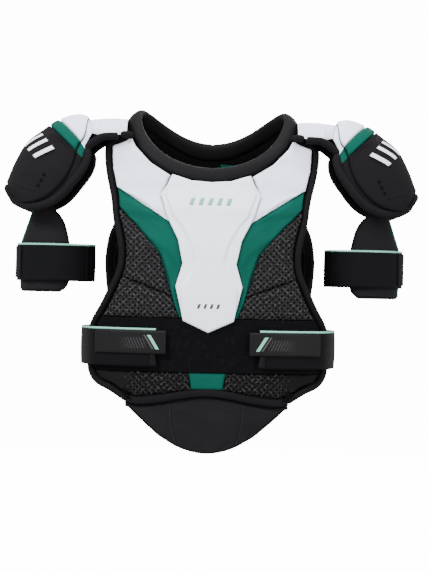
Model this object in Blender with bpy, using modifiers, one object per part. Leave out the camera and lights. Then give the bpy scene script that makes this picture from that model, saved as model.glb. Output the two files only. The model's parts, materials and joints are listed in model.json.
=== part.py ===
"""Hockey shoulder pads, a standalone Blender script: blender --background --python part.py

A chest panel and a back panel hang from two shoulder arches and a padded collar. Two elastic waist straps
wrap from the back to a loop band on the chest. A belly pad hangs from the chest's hem. Each shoulder carries
a cap, an arm guard under it and the guard's elastic strap. The wearer faces -Y, so the wearer's right side
is at -X. Z is 0 where the pads rest on the shoulders, X is 0 at the middle of the neck, and lengths are in
metres.
"""

import math

import bmesh
import bpy
from mathutils import Matrix, Vector

MM = 0.001

# Torso, overall
CHEST_WIDTH = 0.316  # across the chest panel at the waist straps
CHEST_DROP = 0.3385  # from the shoulder rest down to the middle of the hem
CHEST_DEPTH = 0.107  # from the wearer's middle plane forward to the chest panel
BACK_DEPTH = 0.092  # from the wearer's middle plane back to the back panel
BACK_SHORT = 0.0125  # the back panel ends this far above the middle of the hem
BACK_DROP = CHEST_DROP - BACK_SHORT
BELLY_DROP = 0.074  # the belly pad's length below the hem

# Torso, layers outward from the liner's outer face
LINER = 0.009  # foam liner of the chest and back
LAYER_GAP = 0.0018  # stitched layers are drawn this far apart
SKIN = 0.003  # quilted panels
PLATE = 0.005  # moulded sternum and spine plates
BELLY = 0.008
BINDING_RADIUS = 0.0045  # rolled edge binding
SEAM = 0.0022  # between two panels sewn edge to edge
LOOP_BAND = 0.070  # height of the loop band on the chest
LOOP_BAND_RISE = 0.0035  # its middle lies this far above the straps' middle
HINGE_OUT = 0.0005  # a strap's hinge lies this far outside the strap

# Size of the pattern that the outlines below are drawn in, before it is graded
PATTERN_WIDTH = 0.316
PATTERN_DROP = 0.3385
PATTERN_BACK_DROP = 0.326
PATTERN_SHOULDER = 0.1505
PATTERN_TAB = 0.089
PATTERN_CREST = 0.1667  # along the cap's crest

# Neck and shoulders
NECK_HALF_WIDTH = 0.105  # middle of the collar's band, at the sides
NECK_FRONT = 0.066  # from the shoulder line forward, and back, to the band's middle
SHOULDER_LINE_Y = -0.008
COLLAR_WIDTH = 0.020
COLLAR_THICKNESS = 0.010
ARCH_WIDTH = 0.031
ARCH_REACH = 0.050  # from the middle of the arch forward, and back, to its ends
ARCH_TOP = 0.026
ARCH_END = 0.003  # height of the arch's ends
ARCH_THICKNESS = 0.012
REST_THICKNESS = 0.007
JOINT_GAP = 0.003  # between pieces that move past each other

# Waist straps
STRAP_WIDTH = 0.050
STRAP_THICKNESS = 0.0018
WAIST_RISE = 0.062  # from the middle of the hem up to the middle of the waist straps
WAIST_Z = WAIST_RISE - CHEST_DROP
TAB_LENGTH = 0.089
TAB_HEIGHT = 0.029
TAB_THICKNESS = 0.0015
TAB_DOWN = 0.0035  # the tab's top lies this far below the strap's
HINGE_SHARE = 0.6  # the strap's hinge, as a share of its way from the front to the back
HINGE_SPLIT = 0.006  # the strap's two runs stop this share short of the hinge

# Shoulder caps, arm guards and arm straps
CAP_SIZE = 1.0  # grades the cap's pattern, which is drawn for a cap 129 mm long
CAP_COVER = 0.0025
CAP_SHELL = 0.0025
CAP_LINER = 0.007
CAP_GAP = 0.0021
ARM_OUT = 0.0565  # from the cap's joint out to the middle of the arm
ARM_HALF_WIDTH = 0.050  # half of the arm strap's loop across
ARM_HALF_DEPTH = 0.046  # and front to back
GUARD_THICKNESS = 0.009
GUARD_DROP = 0.206  # from the shoulder rest down to the guard's lower edge
NECK_TOP = -0.072  # height of the guard's upper end, inside the cap
GUARD_SKIN = 0.0035  # the guard's outside lies this far inside the strap's loop
NECK_START = -0.142  # the guard's neck leans in under the cap from here up
NECK_LEAN = 0.33  # how far in for each metre up
ARM_STRAP_WIDTH = 0.050
ARM_STRAP_RISE = 0.013  # the guard reaches this far below its strap

# Finishes: colour, roughness
FINISHES = {
    "foam_black": ((0.020, 0.020, 0.022), 0.90),
    "fabric_black": ((0.016, 0.015, 0.017), 0.85),
    "fabric_white": ((0.80, 0.80, 0.84), 0.70),
    "fabric_green": ((0.010, 0.150, 0.105), 0.75),
    "mesh_black": ((0.040, 0.040, 0.042), 0.80),
    "moulded_white": ((0.84, 0.85, 0.88), 0.45),
    "plastic_black": ((0.030, 0.030, 0.032), 0.40),
    "loop_black": ((0.008, 0.008, 0.009), 0.95),
    "elastic_black": ((0.014, 0.015, 0.017), 0.80),
    "tab_rubber": ((0.025, 0.025, 0.027), 0.50),
}


# ---------------------------------------------------------------- lines and surfaces

def edge(points, smooth=False):
    """A line through the points, as a function of its share t. Each span takes an equal share."""
    points = [Vector(p) for p in points]
    spans = len(points) - 1

    def at(t):
        i = min(int(t * spans), spans - 1)
        f = t * spans - i
        a, b = points[i], points[i + 1]
        if not smooth:
            return a.lerp(b, f)
        before = points[i - 1] if i else 2 * a - b
        after = points[i + 2] if i + 2 <= spans else 2 * b - a
        return 0.5 * (
            2 * a
            + (b - before) * f
            + (2 * before - 5 * a + 4 * b - after) * f**2
            + (3 * a - before - 3 * b + after) * f**3
        )

    return at


def sideways(points, distance):
    """The line moved by distance to the left of the way that it runs, in its own plane."""
    points = [Vector(p) for p in points]
    moved = []
    for i, p in enumerate(points):
        run = (points[min(i + 1, len(points) - 1)] - points[max(i - 1, 0)]).normalized()
        moved.append(p + distance * Vector((-run.y, run.x)))
    return moved


def mirrored(points):
    """The half line that starts at the side, joined to its mirror image at the other side."""
    return list(points) + [Vector((-p[0], p[1])) for p in reversed(points[:-1])]


def between(points, high, low):
    """The part of a falling line between two heights, its ends cut at those heights."""
    points = [Vector(p) for p in points]
    kept = []
    for a, b in zip(points, points[1:]):
        for height in (high, low):
            if a.y >= height > b.y:
                kept.append(a.lerp(b, (a.y - height) / (a.y - b.y)))
        if high > b.y > low:
            kept.append(b)
    return kept


def patch(bottom, top, left, right):
    """The flat surface between four edges that meet at its corners, as a function of two shares."""

    def at(u, v):
        flat = (1 - v) * bottom(u) + v * top(u) + (1 - u) * left(v) + u * right(v)
        low = (1 - u) * bottom(0) + u * bottom(1)
        high = (1 - u) * top(0) + u * top(1)
        return flat - (1 - v) * low - v * high

    return at


def blend_rows(rows, value):
    """Reads a table of (key, values...) at a key, smoothly between its rows."""
    if value >= rows[0][0]:
        return rows[0][1:]
    for (k0, *a), (k1, *b) in zip(rows, rows[1:]):
        if value >= k1:
            f = (k0 - value) / (k0 - k1)
            smooth = f * f * (3 - 2 * f)
            return [x + (y - x) * (f + smooth) / 2 for x, y in zip(a, b)]
    return rows[-1][1:]


# ---------------------------------------------------------------- the torso's form

# Height, then the superellipse's half width, its reach forward and its reach back, as shares of the body's
TORSO_ROWS = [
    (0.000, 0.522, 0.500, 0.640),
    (-0.030, 0.522, 0.635, 0.780),
    (-0.065, 0.522, 0.765, 0.860),
    (-0.100, 0.522, 0.880, 0.950),
    (-0.150, 0.522, 0.965, 1.000),
    (-0.210, 0.545, 1.000, 0.985),
    (-0.270, 0.565, 0.992, 0.960),
    (-0.340, 0.555, 0.950, 0.940),
    (-0.415, 0.540, 0.850, 0.900),
]
ROUNDNESS = 2.3
DROP_GRADE = CHEST_DROP / PATTERN_DROP


def torso_y(x, z, front):
    """How far forward (-Y) or back (+Y) the torso's form is at x and z."""
    width, forward, back = blend_rows(TORSO_ROWS, z / DROP_GRADE)
    share = min(abs(x) / (width * CHEST_WIDTH), 0.995)
    reach = (1 - share**ROUNDNESS) ** (1 / ROUNDNESS)
    return -forward * CHEST_DEPTH * reach if front else back * BACK_DEPTH * reach


def on_torso(x, z, height, front=True):
    """The point this high off the torso's form."""
    step = 0.002
    slope_x = (torso_y(x + step, z, front) - torso_y(x - step, z, front)) / (2 * step)
    slope_z = (torso_y(x, z + step, front) - torso_y(x, z - step, front)) / (2 * step)
    out = Vector((-slope_x, 1, -slope_z)).normalized()
    if front:
        out = -out
    return Vector((x, torso_y(x, z, front), z)) + height * out


def torso_sheet(flat, front=True):
    """A flat patch laid on the torso's form."""

    def at(u, v, height):
        p = flat(u, v)
        return on_torso(p.x, p.y, height, front)

    return at


# ---------------------------------------------------------------- the collar's line

TILT_FRONT = math.radians(18)  # how far the band leans, at the front and back
TILT_MORE = math.radians(30)  # and how much more at the sides
COLLAR_REACH = COLLAR_WIDTH / 2 * math.sin(TILT_FRONT + TILT_MORE) + COLLAR_THICKNESS / 2


def collar_middle(angle):
    """The middle of the collar's band. The angle is 0 at the front and a quarter turn at the wearer's left."""
    rise = (
        -2.1
        - 25.25 * math.cos(angle)
        - 28.1 * math.cos(2 * angle)
        + 5.0 * math.cos(3 * angle)
    ) * MM
    across = NECK_HALF_WIDTH * math.sin(angle)
    return Vector((across, SHOULDER_LINE_Y - NECK_FRONT * math.cos(angle), rise))


def collar_frame(angle):
    """The band's way up and its way out at an angle."""
    out = Vector((math.sin(angle) / NECK_HALF_WIDTH, -math.cos(angle) / NECK_FRONT, 0)).normalized()
    tilt = TILT_FRONT + TILT_MORE * math.sin(angle) ** 2
    up = Vector((0, 0, math.cos(tilt))) - math.sin(tilt) * out
    return up, math.cos(tilt) * out + Vector((0, 0, math.sin(tilt)))


def neck_edge(angle):
    """Where a panel's neckline runs, just under the collar, in the flat pattern (x, z)."""
    up, _ = collar_frame(angle)
    low = collar_middle(angle) - (COLLAR_WIDTH / 2) * up
    return Vector((low.x, low.z - COLLAR_THICKNESS / 2 * abs(math.sin(angle)) - 2 * LAYER_GAP - JOINT_GAP / 2))


def neckline(low_degrees, high_degrees, points):
    angles = [low_degrees + (high_degrees - low_degrees) * i / (points - 1) for i in range(points)]
    return [neck_edge(math.radians(a)) for a in angles]


# ---------------------------------------------------------------- where things sit

ARCH_INNER = NECK_HALF_WIDTH + COLLAR_REACH + LAYER_GAP
CAP_PIVOT_X = ARCH_INNER + ARCH_WIDTH + JOINT_GAP / 2
CAP_PIVOT_Z = ARCH_TOP + 0.002
BACK_PIVOT_Z = 0.037
SHOULDER_GRADE = CAP_PIVOT_X / PATTERN_SHOULDER
CHEST_GRADE = CHEST_WIDTH / PATTERN_WIDTH
BACK_GRADE = BACK_DROP / PATTERN_BACK_DROP
SHOULDER_CORNER = Vector((-NECK_HALF_WIDTH - 0.002, -0.0045))  # the panels' corner under the collar's side


def graded(points, drop_grade=DROP_GRADE):
    """Pattern points in millimetres, graded to the shoulders at the top and to the chest lower down."""
    out = []
    for x, z in points:
        share = min(max((-z - 20) / 160, 0), 1)
        across = SHOULDER_GRADE + (CHEST_GRADE - SHOULDER_GRADE) * share
        out.append(Vector((x * across * MM, z * drop_grade * MM)))
    return out


# The chest panel's outline at the wearer's right, from the shoulder down to the hem
CHEST_SIDE = graded([
    (-142, -13), (-139, -44), (-131, -81), (-127, -111), (-121, -138), (-119, -158), (-122, -178),
    (-132, -201), (-141, -220), (-154, -244), (-158, -262), (-158, -300), (-155, -314), (-146, -326),
    (-128, -335), (-108, -347),
])
HEM = graded([(-108, -347), (-90, -350.5), (-60, -347), (-27, -341), (0, -338.5)])
BACK_SIDE = graded(
    [
        (-142, -13), (-140, -45), (-134, -80), (-132, -106), (-140, -130), (-144, -160), (-143, -188),
        (-141, -210), (-145, -245), (-147, -285), (-138, -308), (-112, -320),
    ],
    BACK_GRADE,
)
BACK_HEM = graded([(-112, -320), (-60, -325), (0, -326)], BACK_GRADE)
PANEL_INSET = 2 * BINDING_RADIUS + LAYER_GAP
CHEST_EDGE = sideways(CHEST_SIDE, PANEL_INSET)
BACK_EDGE = sideways(BACK_SIDE, PANEL_INSET)

# Seams of the chest, at the wearer's right
YOKE_LOW, PLATE_SHOULDER = graded([(-122, -67.5), (-53, -113)])
ACCENT_INNER = graded([
    (-122, -68), (-88, -90), (-53, -113), (-41, -137), (-34.7, -167), (-43.3, -196.5), (-33, 0),
])
ACCENT_OUTER = graded([
    (-119, -93), (-92, -123), (-68, -151), (-61, -166), (-54, -188), (-46, -214), (-37, 0),
])
PLATE_SIDE = graded([
    (-49, -66), (-65, -78), (-57, -104), (-53, -113), (-41, -137), (-34.7, -167), (-43.3, -196.5),
    (-32.5, -241),
])
PLATE_TIP = graded([(0, -256)])[0]
RIB_SEAM = graded([(-112, -184), (-52, -210)])
BAND_TOP = WAIST_Z + LOOP_BAND / 2 + LOOP_BAND_RISE
BAND_LOW = BAND_TOP - LOOP_BAND
ACCENT_INNER[-1].y = BAND_TOP
ACCENT_OUTER[-1].y = BAND_TOP
SKIN_BASE = LAYER_GAP
PLATE_BASE = SKIN_BASE + SKIN + LAYER_GAP
STRAP_BASE = PLATE_BASE + LAYER_GAP


# ---------------------------------------------------------------- making objects

def new_collection(name):
    collection = bpy.data.collections.new(name)
    bpy.context.scene.collection.children.link(collection)
    return collection


def make_finish(name):
    colour, roughness = FINISHES[name]
    finish = bpy.data.materials.new(name)
    finish.use_nodes = True
    shader = finish.node_tree.nodes["Principled BSDF"]
    shader.inputs["Base Color"].default_value = (*colour, 1)
    shader.inputs["Roughness"].default_value = roughness
    shader.inputs["Metallic"].default_value = 0
    return finish


def add_object(name, mesh, finish):
    if not mesh.materials:
        mesh.materials.append(bpy.data.materials[finish])
    made = bpy.data.objects.new(name, mesh)
    bpy.data.collections["hockey_shoulder_pads"].objects.link(made)
    return made


def add_sheet(name, surface, rows, columns, thickness, finish, base=0.0, seam=0.0):
    """A panel that fills the surface's heights from base up, and stops half a seam short of each edge."""
    side = (surface(1, 0.5, base) - surface(0, 0.5, base)).length
    rise = (surface(0.5, 1, base) - surface(0.5, 0, base)).length
    short_u, short_v = seam / 2 / side, seam / 2 / rise
    bm = bmesh.new()
    bmesh.ops.create_grid(bm, x_segments=columns, y_segments=rows, size=0.5)
    for vertex in bm.verts:
        u = short_u + (vertex.co.x + 0.5) * (1 - 2 * short_u)
        v = short_v + (vertex.co.y + 0.5) * (1 - 2 * short_v)
        vertex.co = surface(u, v, base + thickness)
    bm.normal_update()
    bm.faces.ensure_lookup_table()
    middle = bm.faces[len(bm.faces) // 2]
    outward = surface(0.5, 0.5, base + thickness) - surface(0.5, 0.5, base)
    if middle.normal.dot(outward) < 0:
        bmesh.ops.reverse_faces(bm, faces=bm.faces)
    mesh = bpy.data.meshes.new(name)
    bm.to_mesh(mesh)
    bm.free()
    made = add_object(name, mesh, finish)
    solid = made.modifiers.new("thickness", "SOLIDIFY")
    solid.thickness = thickness
    solid.offset = -1
    return made


def add_tube(name, points, radius, finish):
    """A round binding or cord through the points."""
    curve = bpy.data.curves.new(name, "CURVE")
    curve.dimensions = "3D"
    curve.bevel_depth = radius
    curve.bevel_resolution = 1
    curve.use_fill_caps = True
    spline = curve.splines.new("POLY")
    spline.points.add(len(points) - 1)
    for spot, p in zip(spline.points, points):
        spot.co = (*p, 1)
    return add_object(name, curve, finish)


def add_band(name, section_at, along, around, finish):
    """A closed solid swept along: section_at(share along, share around) gives its skin."""
    bm = bmesh.new()
    bmesh.ops.create_grid(bm, x_segments=along, y_segments=around, size=0.5)
    for vertex in bm.verts:
        vertex.co = section_at(vertex.co.x + 0.5, vertex.co.y + 0.5)
    bmesh.ops.remove_doubles(bm, verts=bm.verts, dist=1e-6)
    bmesh.ops.holes_fill(bm, edges=bm.edges, sides=0)
    bmesh.ops.recalc_face_normals(bm, faces=bm.faces)
    mesh = bpy.data.meshes.new(name)
    bm.to_mesh(mesh)
    bm.free()
    return add_object(name, mesh, finish)


def mirror_to_left(made):
    """The same piece for the wearer's left side."""
    graph = bpy.context.evaluated_depsgraph_get()
    mesh = bpy.data.meshes.new_from_object(made.evaluated_get(graph), depsgraph=graph)
    mesh.transform(Matrix.Scale(-1, 4, (1, 0, 0)) @ made.matrix_world)
    mesh.flip_normals()
    copy = bpy.data.objects.new(made.name.replace("_right", "_left"), mesh)
    bpy.data.collections["hockey_shoulder_pads"].objects.link(copy)
    return copy


def hang(pieces, joint_name, place):
    """Parents the pieces to an empty on their joint's axis."""
    empty = bpy.data.objects.new(joint_name, None)
    empty.location = place
    bpy.data.collections["hockey_shoulder_pads"].objects.link(empty)
    bpy.context.view_layer.update()
    for piece in pieces:
        piece.parent = empty
        piece.matrix_parent_inverse = empty.matrix_world.inverted()
    return empty


# ---------------------------------------------------------------- chest panel

def add_chest():
    left_side = list(reversed(CHEST_EDGE))
    top = mirrored([CHEST_EDGE[0], SHOULDER_CORNER] + neckline(-66, 0, 5))
    low = mirrored([left_side[0]] + [p + Vector((0, PANEL_INSET)) for p in HEM[1:]])
    whole = patch(
        edge(low, True),
        edge(top),
        edge(left_side),
        edge([(-p.x, p.y) for p in left_side]),
    )
    add_sheet("chest_liner", torso_sheet(whole), 20, 16, LINER, "foam_black", -LINER)
    for side in (-1, 1):
        line = [Vector((-side * p.x, p.y)) for p in sideways(CHEST_SIDE, BINDING_RADIUS)]
        name = "chest_binding_left" if side > 0 else "chest_binding_right"
        spots = [on_torso(p.x, p.y, -BINDING_RADIUS / 2) for p in line]
        add_tube(name, spots, BINDING_RADIUS, "fabric_black")
    hem = edge(mirrored([p + Vector((0, BINDING_RADIUS)) for p in HEM]), True)
    hem_ends = 0.07  # the side bindings cover the hem's ends
    line = [hem(hem_ends + (1 - 2 * hem_ends) * i / 14) for i in range(15)]
    spots = [on_torso(p.x, p.y, -BINDING_RADIUS / 2) for p in line]
    add_tube("hem_binding", spots, BINDING_RADIUS, "fabric_black")


def add_chest_panels():
    """The quilted panels sewn on the chest's liner: one side, then its mirror image."""
    top_in = neckline(-66, -30, 3)
    yoke = patch(
        edge([YOKE_LOW, PLATE_SHOULDER]),
        edge([CHEST_EDGE[0], SHOULDER_CORNER] + top_in),
        edge([YOKE_LOW] + list(reversed(between(CHEST_EDGE, CHEST_EDGE[0].y, YOKE_LOW.y)))),
        edge([PLATE_SHOULDER, PLATE_SIDE[2], PLATE_SIDE[1], top_in[-1]]),
    )
    accent = patch(
        edge([ACCENT_OUTER[-1], ACCENT_INNER[-1]]),
        edge([ACCENT_OUTER[0], ACCENT_INNER[0]]),
        edge(list(reversed(ACCENT_OUTER))),
        edge(list(reversed(ACCENT_INNER))),
    )
    seam_left, seam_right = RIB_SEAM
    chest_left = between(CHEST_EDGE, ACCENT_OUTER[0].y - 0.004, seam_left.y)
    chest_right = between(ACCENT_OUTER, ACCENT_OUTER[0].y - 0.004, seam_right.y)
    chest_mesh = patch(
        edge([chest_left[-1], chest_right[-1]]),
        edge([chest_left[0], chest_right[0]]),
        edge(list(reversed(chest_left))),
        edge(list(reversed(chest_right))),
    )
    rib_left = between(CHEST_EDGE, seam_left.y, BAND_TOP)
    rib_right = between(ACCENT_OUTER, seam_right.y, BAND_TOP)
    rib_mesh = patch(
        edge([rib_left[-1], rib_right[-1]]),
        edge([rib_left[0], rib_right[0]]),
        edge(list(reversed(rib_left))),
        edge(list(reversed(rib_right))),
    )
    hem_left = between(CHEST_EDGE, BAND_LOW, CHEST_EDGE[-1].y - 0.001)
    low = [p + Vector((0, PANEL_INSET)) for p in HEM[1:4]]
    patch_top, patch_low = graded([(-24, -308), (-20.5, -332)])
    patch_top.y = BAND_LOW
    patch_low.y = low[2].y
    hem_mesh = patch(
        edge([CHEST_EDGE[-1]] + low[:2] + [patch_low], True),
        edge([hem_left[0], patch_top]),
        edge(list(reversed(hem_left))),
        edge([patch_low, patch_top]),
    )
    right = [
        add_sheet("yoke_right", torso_sheet(yoke), 5, 8, SKIN, "fabric_white", SKIN_BASE, SEAM),
        add_sheet("accent_right", torso_sheet(accent), 8, 4, SKIN, "fabric_green", SKIN_BASE, SEAM),
        add_sheet("chest_mesh_right", torso_sheet(chest_mesh), 5, 4, SKIN, "mesh_black", SKIN_BASE, SEAM),
        add_sheet("rib_mesh_right", torso_sheet(rib_mesh), 3, 5, SKIN, "mesh_black", SKIN_BASE, SEAM),
        add_sheet("hem_mesh_right", torso_sheet(hem_mesh), 3, 6, SKIN, "mesh_black", SKIN_BASE, SEAM),
    ]
    for piece in right:
        mirror_to_left(piece)
    hem_patch = patch(
        edge([patch_low, (-patch_low.x, patch_low.y)]),
        edge([patch_top, (-patch_top.x, patch_top.y)]),
        edge([patch_low, patch_top]),
        edge([(-patch_low.x, patch_low.y), (-patch_top.x, patch_top.y)]),
    )
    add_sheet("hem_patch", torso_sheet(hem_patch), 1, 3, SKIN, "fabric_green", SKIN_BASE, SEAM)
    sides = between(CHEST_EDGE, BAND_TOP, BAND_LOW)
    band = patch(
        edge([sides[-1], (-sides[-1].x, sides[-1].y)]),
        edge([sides[0], (-sides[0].x, sides[0].y)]),
        edge(list(reversed(sides))),
        edge([(-p.x, p.y) for p in reversed(sides)]),
    )
    add_sheet("loop_band", torso_sheet(band), 4, 12, SKIN, "loop_black", SKIN_BASE, SEAM)


def add_sternum():
    side = list(reversed(PLATE_SIDE))
    low = [side[0], (side[0].x / 2, (side[0].y + PLATE_TIP.y) / 2), PLATE_TIP]
    top = neckline(-28, 0, 3)
    top[0] = side[-1]
    plate = patch(
        edge(mirrored([Vector(p) for p in low])),
        edge(mirrored(top)),
        edge(side),
        edge([(-p.x, p.y) for p in side]),
    )
    add_sheet("sternum_plate", torso_sheet(plate), 14, 6, PLATE, "moulded_white", PLATE_BASE, SEAM)
    core_side = [p for p in side if p.y > BAND_TOP + 0.01]
    core_side.insert(0, Vector((side[0].x + 0.004, BAND_TOP + 0.002)))
    core_side = [Vector((p.x + 0.002, p.y)) for p in core_side]
    core = patch(
        edge([core_side[0], (-core_side[0].x, core_side[0].y)]),
        edge(mirrored([core_side[-1]] + top[1:])),
        edge(core_side),
        edge([(-p.x, p.y) for p in core_side]),
    )
    add_sheet("sternum_core", torso_sheet(core), 12, 5, SKIN, "foam_black", SKIN_BASE, 2 * SEAM)


def add_belly():
    """The pad under the chest's hem, which folds forward on the seam."""
    half = [p + Vector((0, -0.0025)) for p in HEM]
    corner, low_side, low_quarter = graded([(-106, -353), (-62, -391), (-32, -408)])
    half[0] = Vector((corner.x, half[0].y - 0.003))
    low_middle = Vector((0, HEM[-1].y - BELLY_DROP))
    low_quarter.y = low_middle.y + 0.006
    low_side.y = low_middle.y + 0.022
    middle_side = Vector((half[0].x * 0.8, half[0].y * 0.6 + low_side.y * 0.4))
    left = [low_side, middle_side, half[0]]
    pad = patch(
        edge(mirrored([low_side, low_quarter, low_middle]), True),
        edge(mirrored(half), True),
        edge(left, True),
        edge([(-p[0], p[1]) for p in left], True),
    )
    belly = add_sheet("belly_pad", torso_sheet(pad), 4, 10, BELLY, "fabric_black", -LINER)
    hinge = on_torso(0, HEM[-1].y - 0.007, BELLY - LINER)
    hang([belly], "belly_hinge", hinge)
    return hinge


# ---------------------------------------------------------------- back panel

def add_back():
    left_side = list(reversed(BACK_EDGE))
    back_neck = neckline(246, 180, 5)
    top = mirrored([BACK_EDGE[0], SHOULDER_CORNER] + back_neck)
    low = mirrored([left_side[0]] + [p + Vector((0, PANEL_INSET)) for p in BACK_HEM[1:]])
    whole = patch(
        edge(low, True),
        edge(top),
        edge(left_side),
        edge([(-p.x, p.y) for p in left_side]),
    )
    pieces = [add_sheet("back_liner", torso_sheet(whole, False), 30, 32, LINER, "foam_black", -LINER)]
    outline = sideways(BACK_SIDE, BINDING_RADIUS) + [p + Vector((0, BINDING_RADIUS)) for p in BACK_HEM[1:]]
    line = mirrored(outline)
    spots = [on_torso(p.x, p.y, -BINDING_RADIUS / 2, False) for p in line]
    pieces.append(add_tube("back_binding", spots, BINDING_RADIUS, "fabric_black"))

    spine_side = graded([(-26, -268), (-35, -205), (-27, -145), (-39, -85), (-30, -44)], BACK_GRADE)
    spine_tip = graded([(0, -286)], BACK_GRADE)[0]
    spine_top = neck_edge(math.pi) + Vector((0, -0.006))
    spine = patch(
        edge(mirrored([spine_side[0], spine_tip])),
        edge(mirrored([spine_side[-1], spine_top])),
        edge(spine_side),
        edge([(-p.x, p.y) for p in spine_side]),
    )
    pieces.append(
        add_sheet("spine_plate", torso_sheet(spine, False), 12, 6, PLATE, "plastic_black", PLATE_BASE, SEAM)
    )
    yoke_low_side, yoke_low_in = graded([(-125, -72), (-14, -96)], BACK_GRADE)
    yoke_top_in = Vector((yoke_low_in.x, back_neck[-1].y))
    yoke = patch(
        edge([yoke_low_side, yoke_low_in]),
        edge([BACK_EDGE[0], SHOULDER_CORNER] + back_neck[:3] + [yoke_top_in]),
        edge([yoke_low_side] + list(reversed(between(BACK_EDGE, BACK_EDGE[0].y, yoke_low_side.y)))),
        edge([yoke_low_in, yoke_top_in]),
    )
    mesh_side = between(BACK_EDGE, yoke_low_side.y, BAND_TOP)
    mesh = patch(
        edge([mesh_side[-1], (yoke_low_in.x, BAND_TOP)]),
        edge([mesh_side[0], yoke_low_in]),
        edge(list(reversed(mesh_side))),
        edge([(yoke_low_in.x, BAND_TOP), yoke_low_in]),
    )
    right = [
        add_sheet("back_yoke_right", torso_sheet(yoke, False), 9, 14, SKIN, "fabric_white", SKIN_BASE, SEAM),
        add_sheet("back_mesh_right", torso_sheet(mesh, False), 6, 5, SKIN, "mesh_black", SKIN_BASE, SEAM),
    ]
    pieces += right + [mirror_to_left(piece) for piece in right]
    band_side = between(BACK_EDGE, BAND_TOP, BACK_EDGE[-1].y - 0.001)
    band_low = mirrored([band_side[-1]] + [p + Vector((0, PANEL_INSET)) for p in BACK_HEM[1:]])
    band = patch(
        edge(band_low, True),
        edge([band_side[0], (-band_side[0].x, band_side[0].y)]),
        edge(list(reversed(band_side))),
        edge([(-p.x, p.y) for p in reversed(band_side)]),
    )
    pieces.append(
        add_sheet("lumbar_panel", torso_sheet(band, False), 4, 12, SKIN, "fabric_black", SKIN_BASE, SEAM)
    )
    return pieces


# ---------------------------------------------------------------- collar, arches and rests

def add_collar():
    """The padded neck band, in a front and a rear half that part at the shoulder line."""
    gap = JOINT_GAP / 2 / NECK_FRONT

    def half(start):
        def at(along, around):
            angle = start - math.pi / 2 + gap + (math.pi - 2 * gap) * along
            up, out = collar_frame(angle)
            turn = 2 * math.pi * around
            return (
                collar_middle(angle)
                + COLLAR_WIDTH / 2 * math.cos(turn) * up
                + COLLAR_THICKNESS / 2 * math.sin(turn) * out
            )

        return at

    front = add_band("collar_front", half(0), 20, 8, "fabric_black")
    rear = add_band("collar_rear", half(math.pi), 20, 8, "fabric_black")
    return front, rear


def arch_surface(x0, x1, from_angle, to_angle):
    """The saddle over the shoulder. The angle is 0 at its top and a quarter turn at its front end."""

    def at(u, v, height):
        angle = from_angle + (to_angle - from_angle) * v
        reach = ARCH_REACH + height
        rise = ARCH_TOP - ARCH_END + height
        y = SHOULDER_LINE_Y - reach * math.sin(angle)
        return Vector((x0 + (x1 - x0) * u, y, ARCH_END + rise * math.cos(angle)))

    return at


def add_arches():
    outer, inner = -(ARCH_INNER + ARCH_WIDTH), -ARCH_INNER
    gap = JOINT_GAP / 2 / ARCH_REACH
    quarter = math.pi / 2
    front = arch_surface(outer, inner, gap, quarter)
    rear = arch_surface(outer, inner, -gap, -quarter)
    right = add_sheet("arch_front_right", front, 6, 2, ARCH_THICKNESS, "fabric_white", -ARCH_THICKNESS)
    back = add_sheet("arch_rear_right", rear, 6, 2, ARCH_THICKNESS, "fabric_white", -ARCH_THICKNESS)
    mirror_to_left(right)
    rest_length = ARCH_REACH
    rest_width = ARCH_WIDTH - 2 * JOINT_GAP
    bpy.ops.mesh.primitive_cube_add(size=1, location=(0, 0, 0))
    rest = bpy.context.object
    rest.name = "shoulder_rest_right"
    rest.data.name = rest.name
    size = Matrix.Diagonal((rest_width, rest_length, REST_THICKNESS, 1))
    middle = Vector(((outer + inner) / 2, SHOULDER_LINE_Y, REST_THICKNESS / 2))
    rest.data.transform(Matrix.Translation(middle) @ size)
    rest.data.materials.append(bpy.data.materials["foam_black"])
    for owner in list(rest.users_collection):
        owner.objects.unlink(rest)
    bpy.data.collections["hockey_shoulder_pads"].objects.link(rest)
    mirror_to_left(rest)
    return [back, mirror_to_left(back)]


# ---------------------------------------------------------------- waist straps

def strap_line():
    """The waist strap's way round the wearer's right side, from its front end to its sewn end on the back."""
    front = [on_torso(-x, WAIST_Z, STRAP_BASE) for x in graded_x(66, 90, 112, 132, 148)]
    back = [on_torso(-x, WAIST_Z, STRAP_BASE, False) for x in graded_x(136, 118, 96)]
    side = [Vector((-x, y, 0)) for x, y in zip(graded_x(165.5, 168.5, 163), (-0.036, 0.0, 0.034))]
    return edge([Vector((p.x, p.y)) for p in front + side + back], True)


def tab_line():
    """The way of the strap's tab, from its free end at the front."""
    spots = [on_torso(-x, WAIST_Z, STRAP_BASE) for x in graded_x(53, 75, 97, 119, 140)]
    return edge([Vector((p.x, p.y)) for p in spots], True)


def graded_x(*values):
    return [v * CHEST_GRADE * MM for v in values]


def strap_surface(line, start, end, low, high):
    def at(u, v, height):
        t = start + (end - start) * u
        step = 0.002
        run = line(min(t + step, 1)) - line(max(t - step, 0))
        out = Vector((-run.y, run.x)).normalized()
        out = out if out.dot(line(t)) > 0 else -out
        flat = line(t) + height * out
        return Vector((flat.x, flat.y, low + (high - low) * v))

    return at


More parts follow.
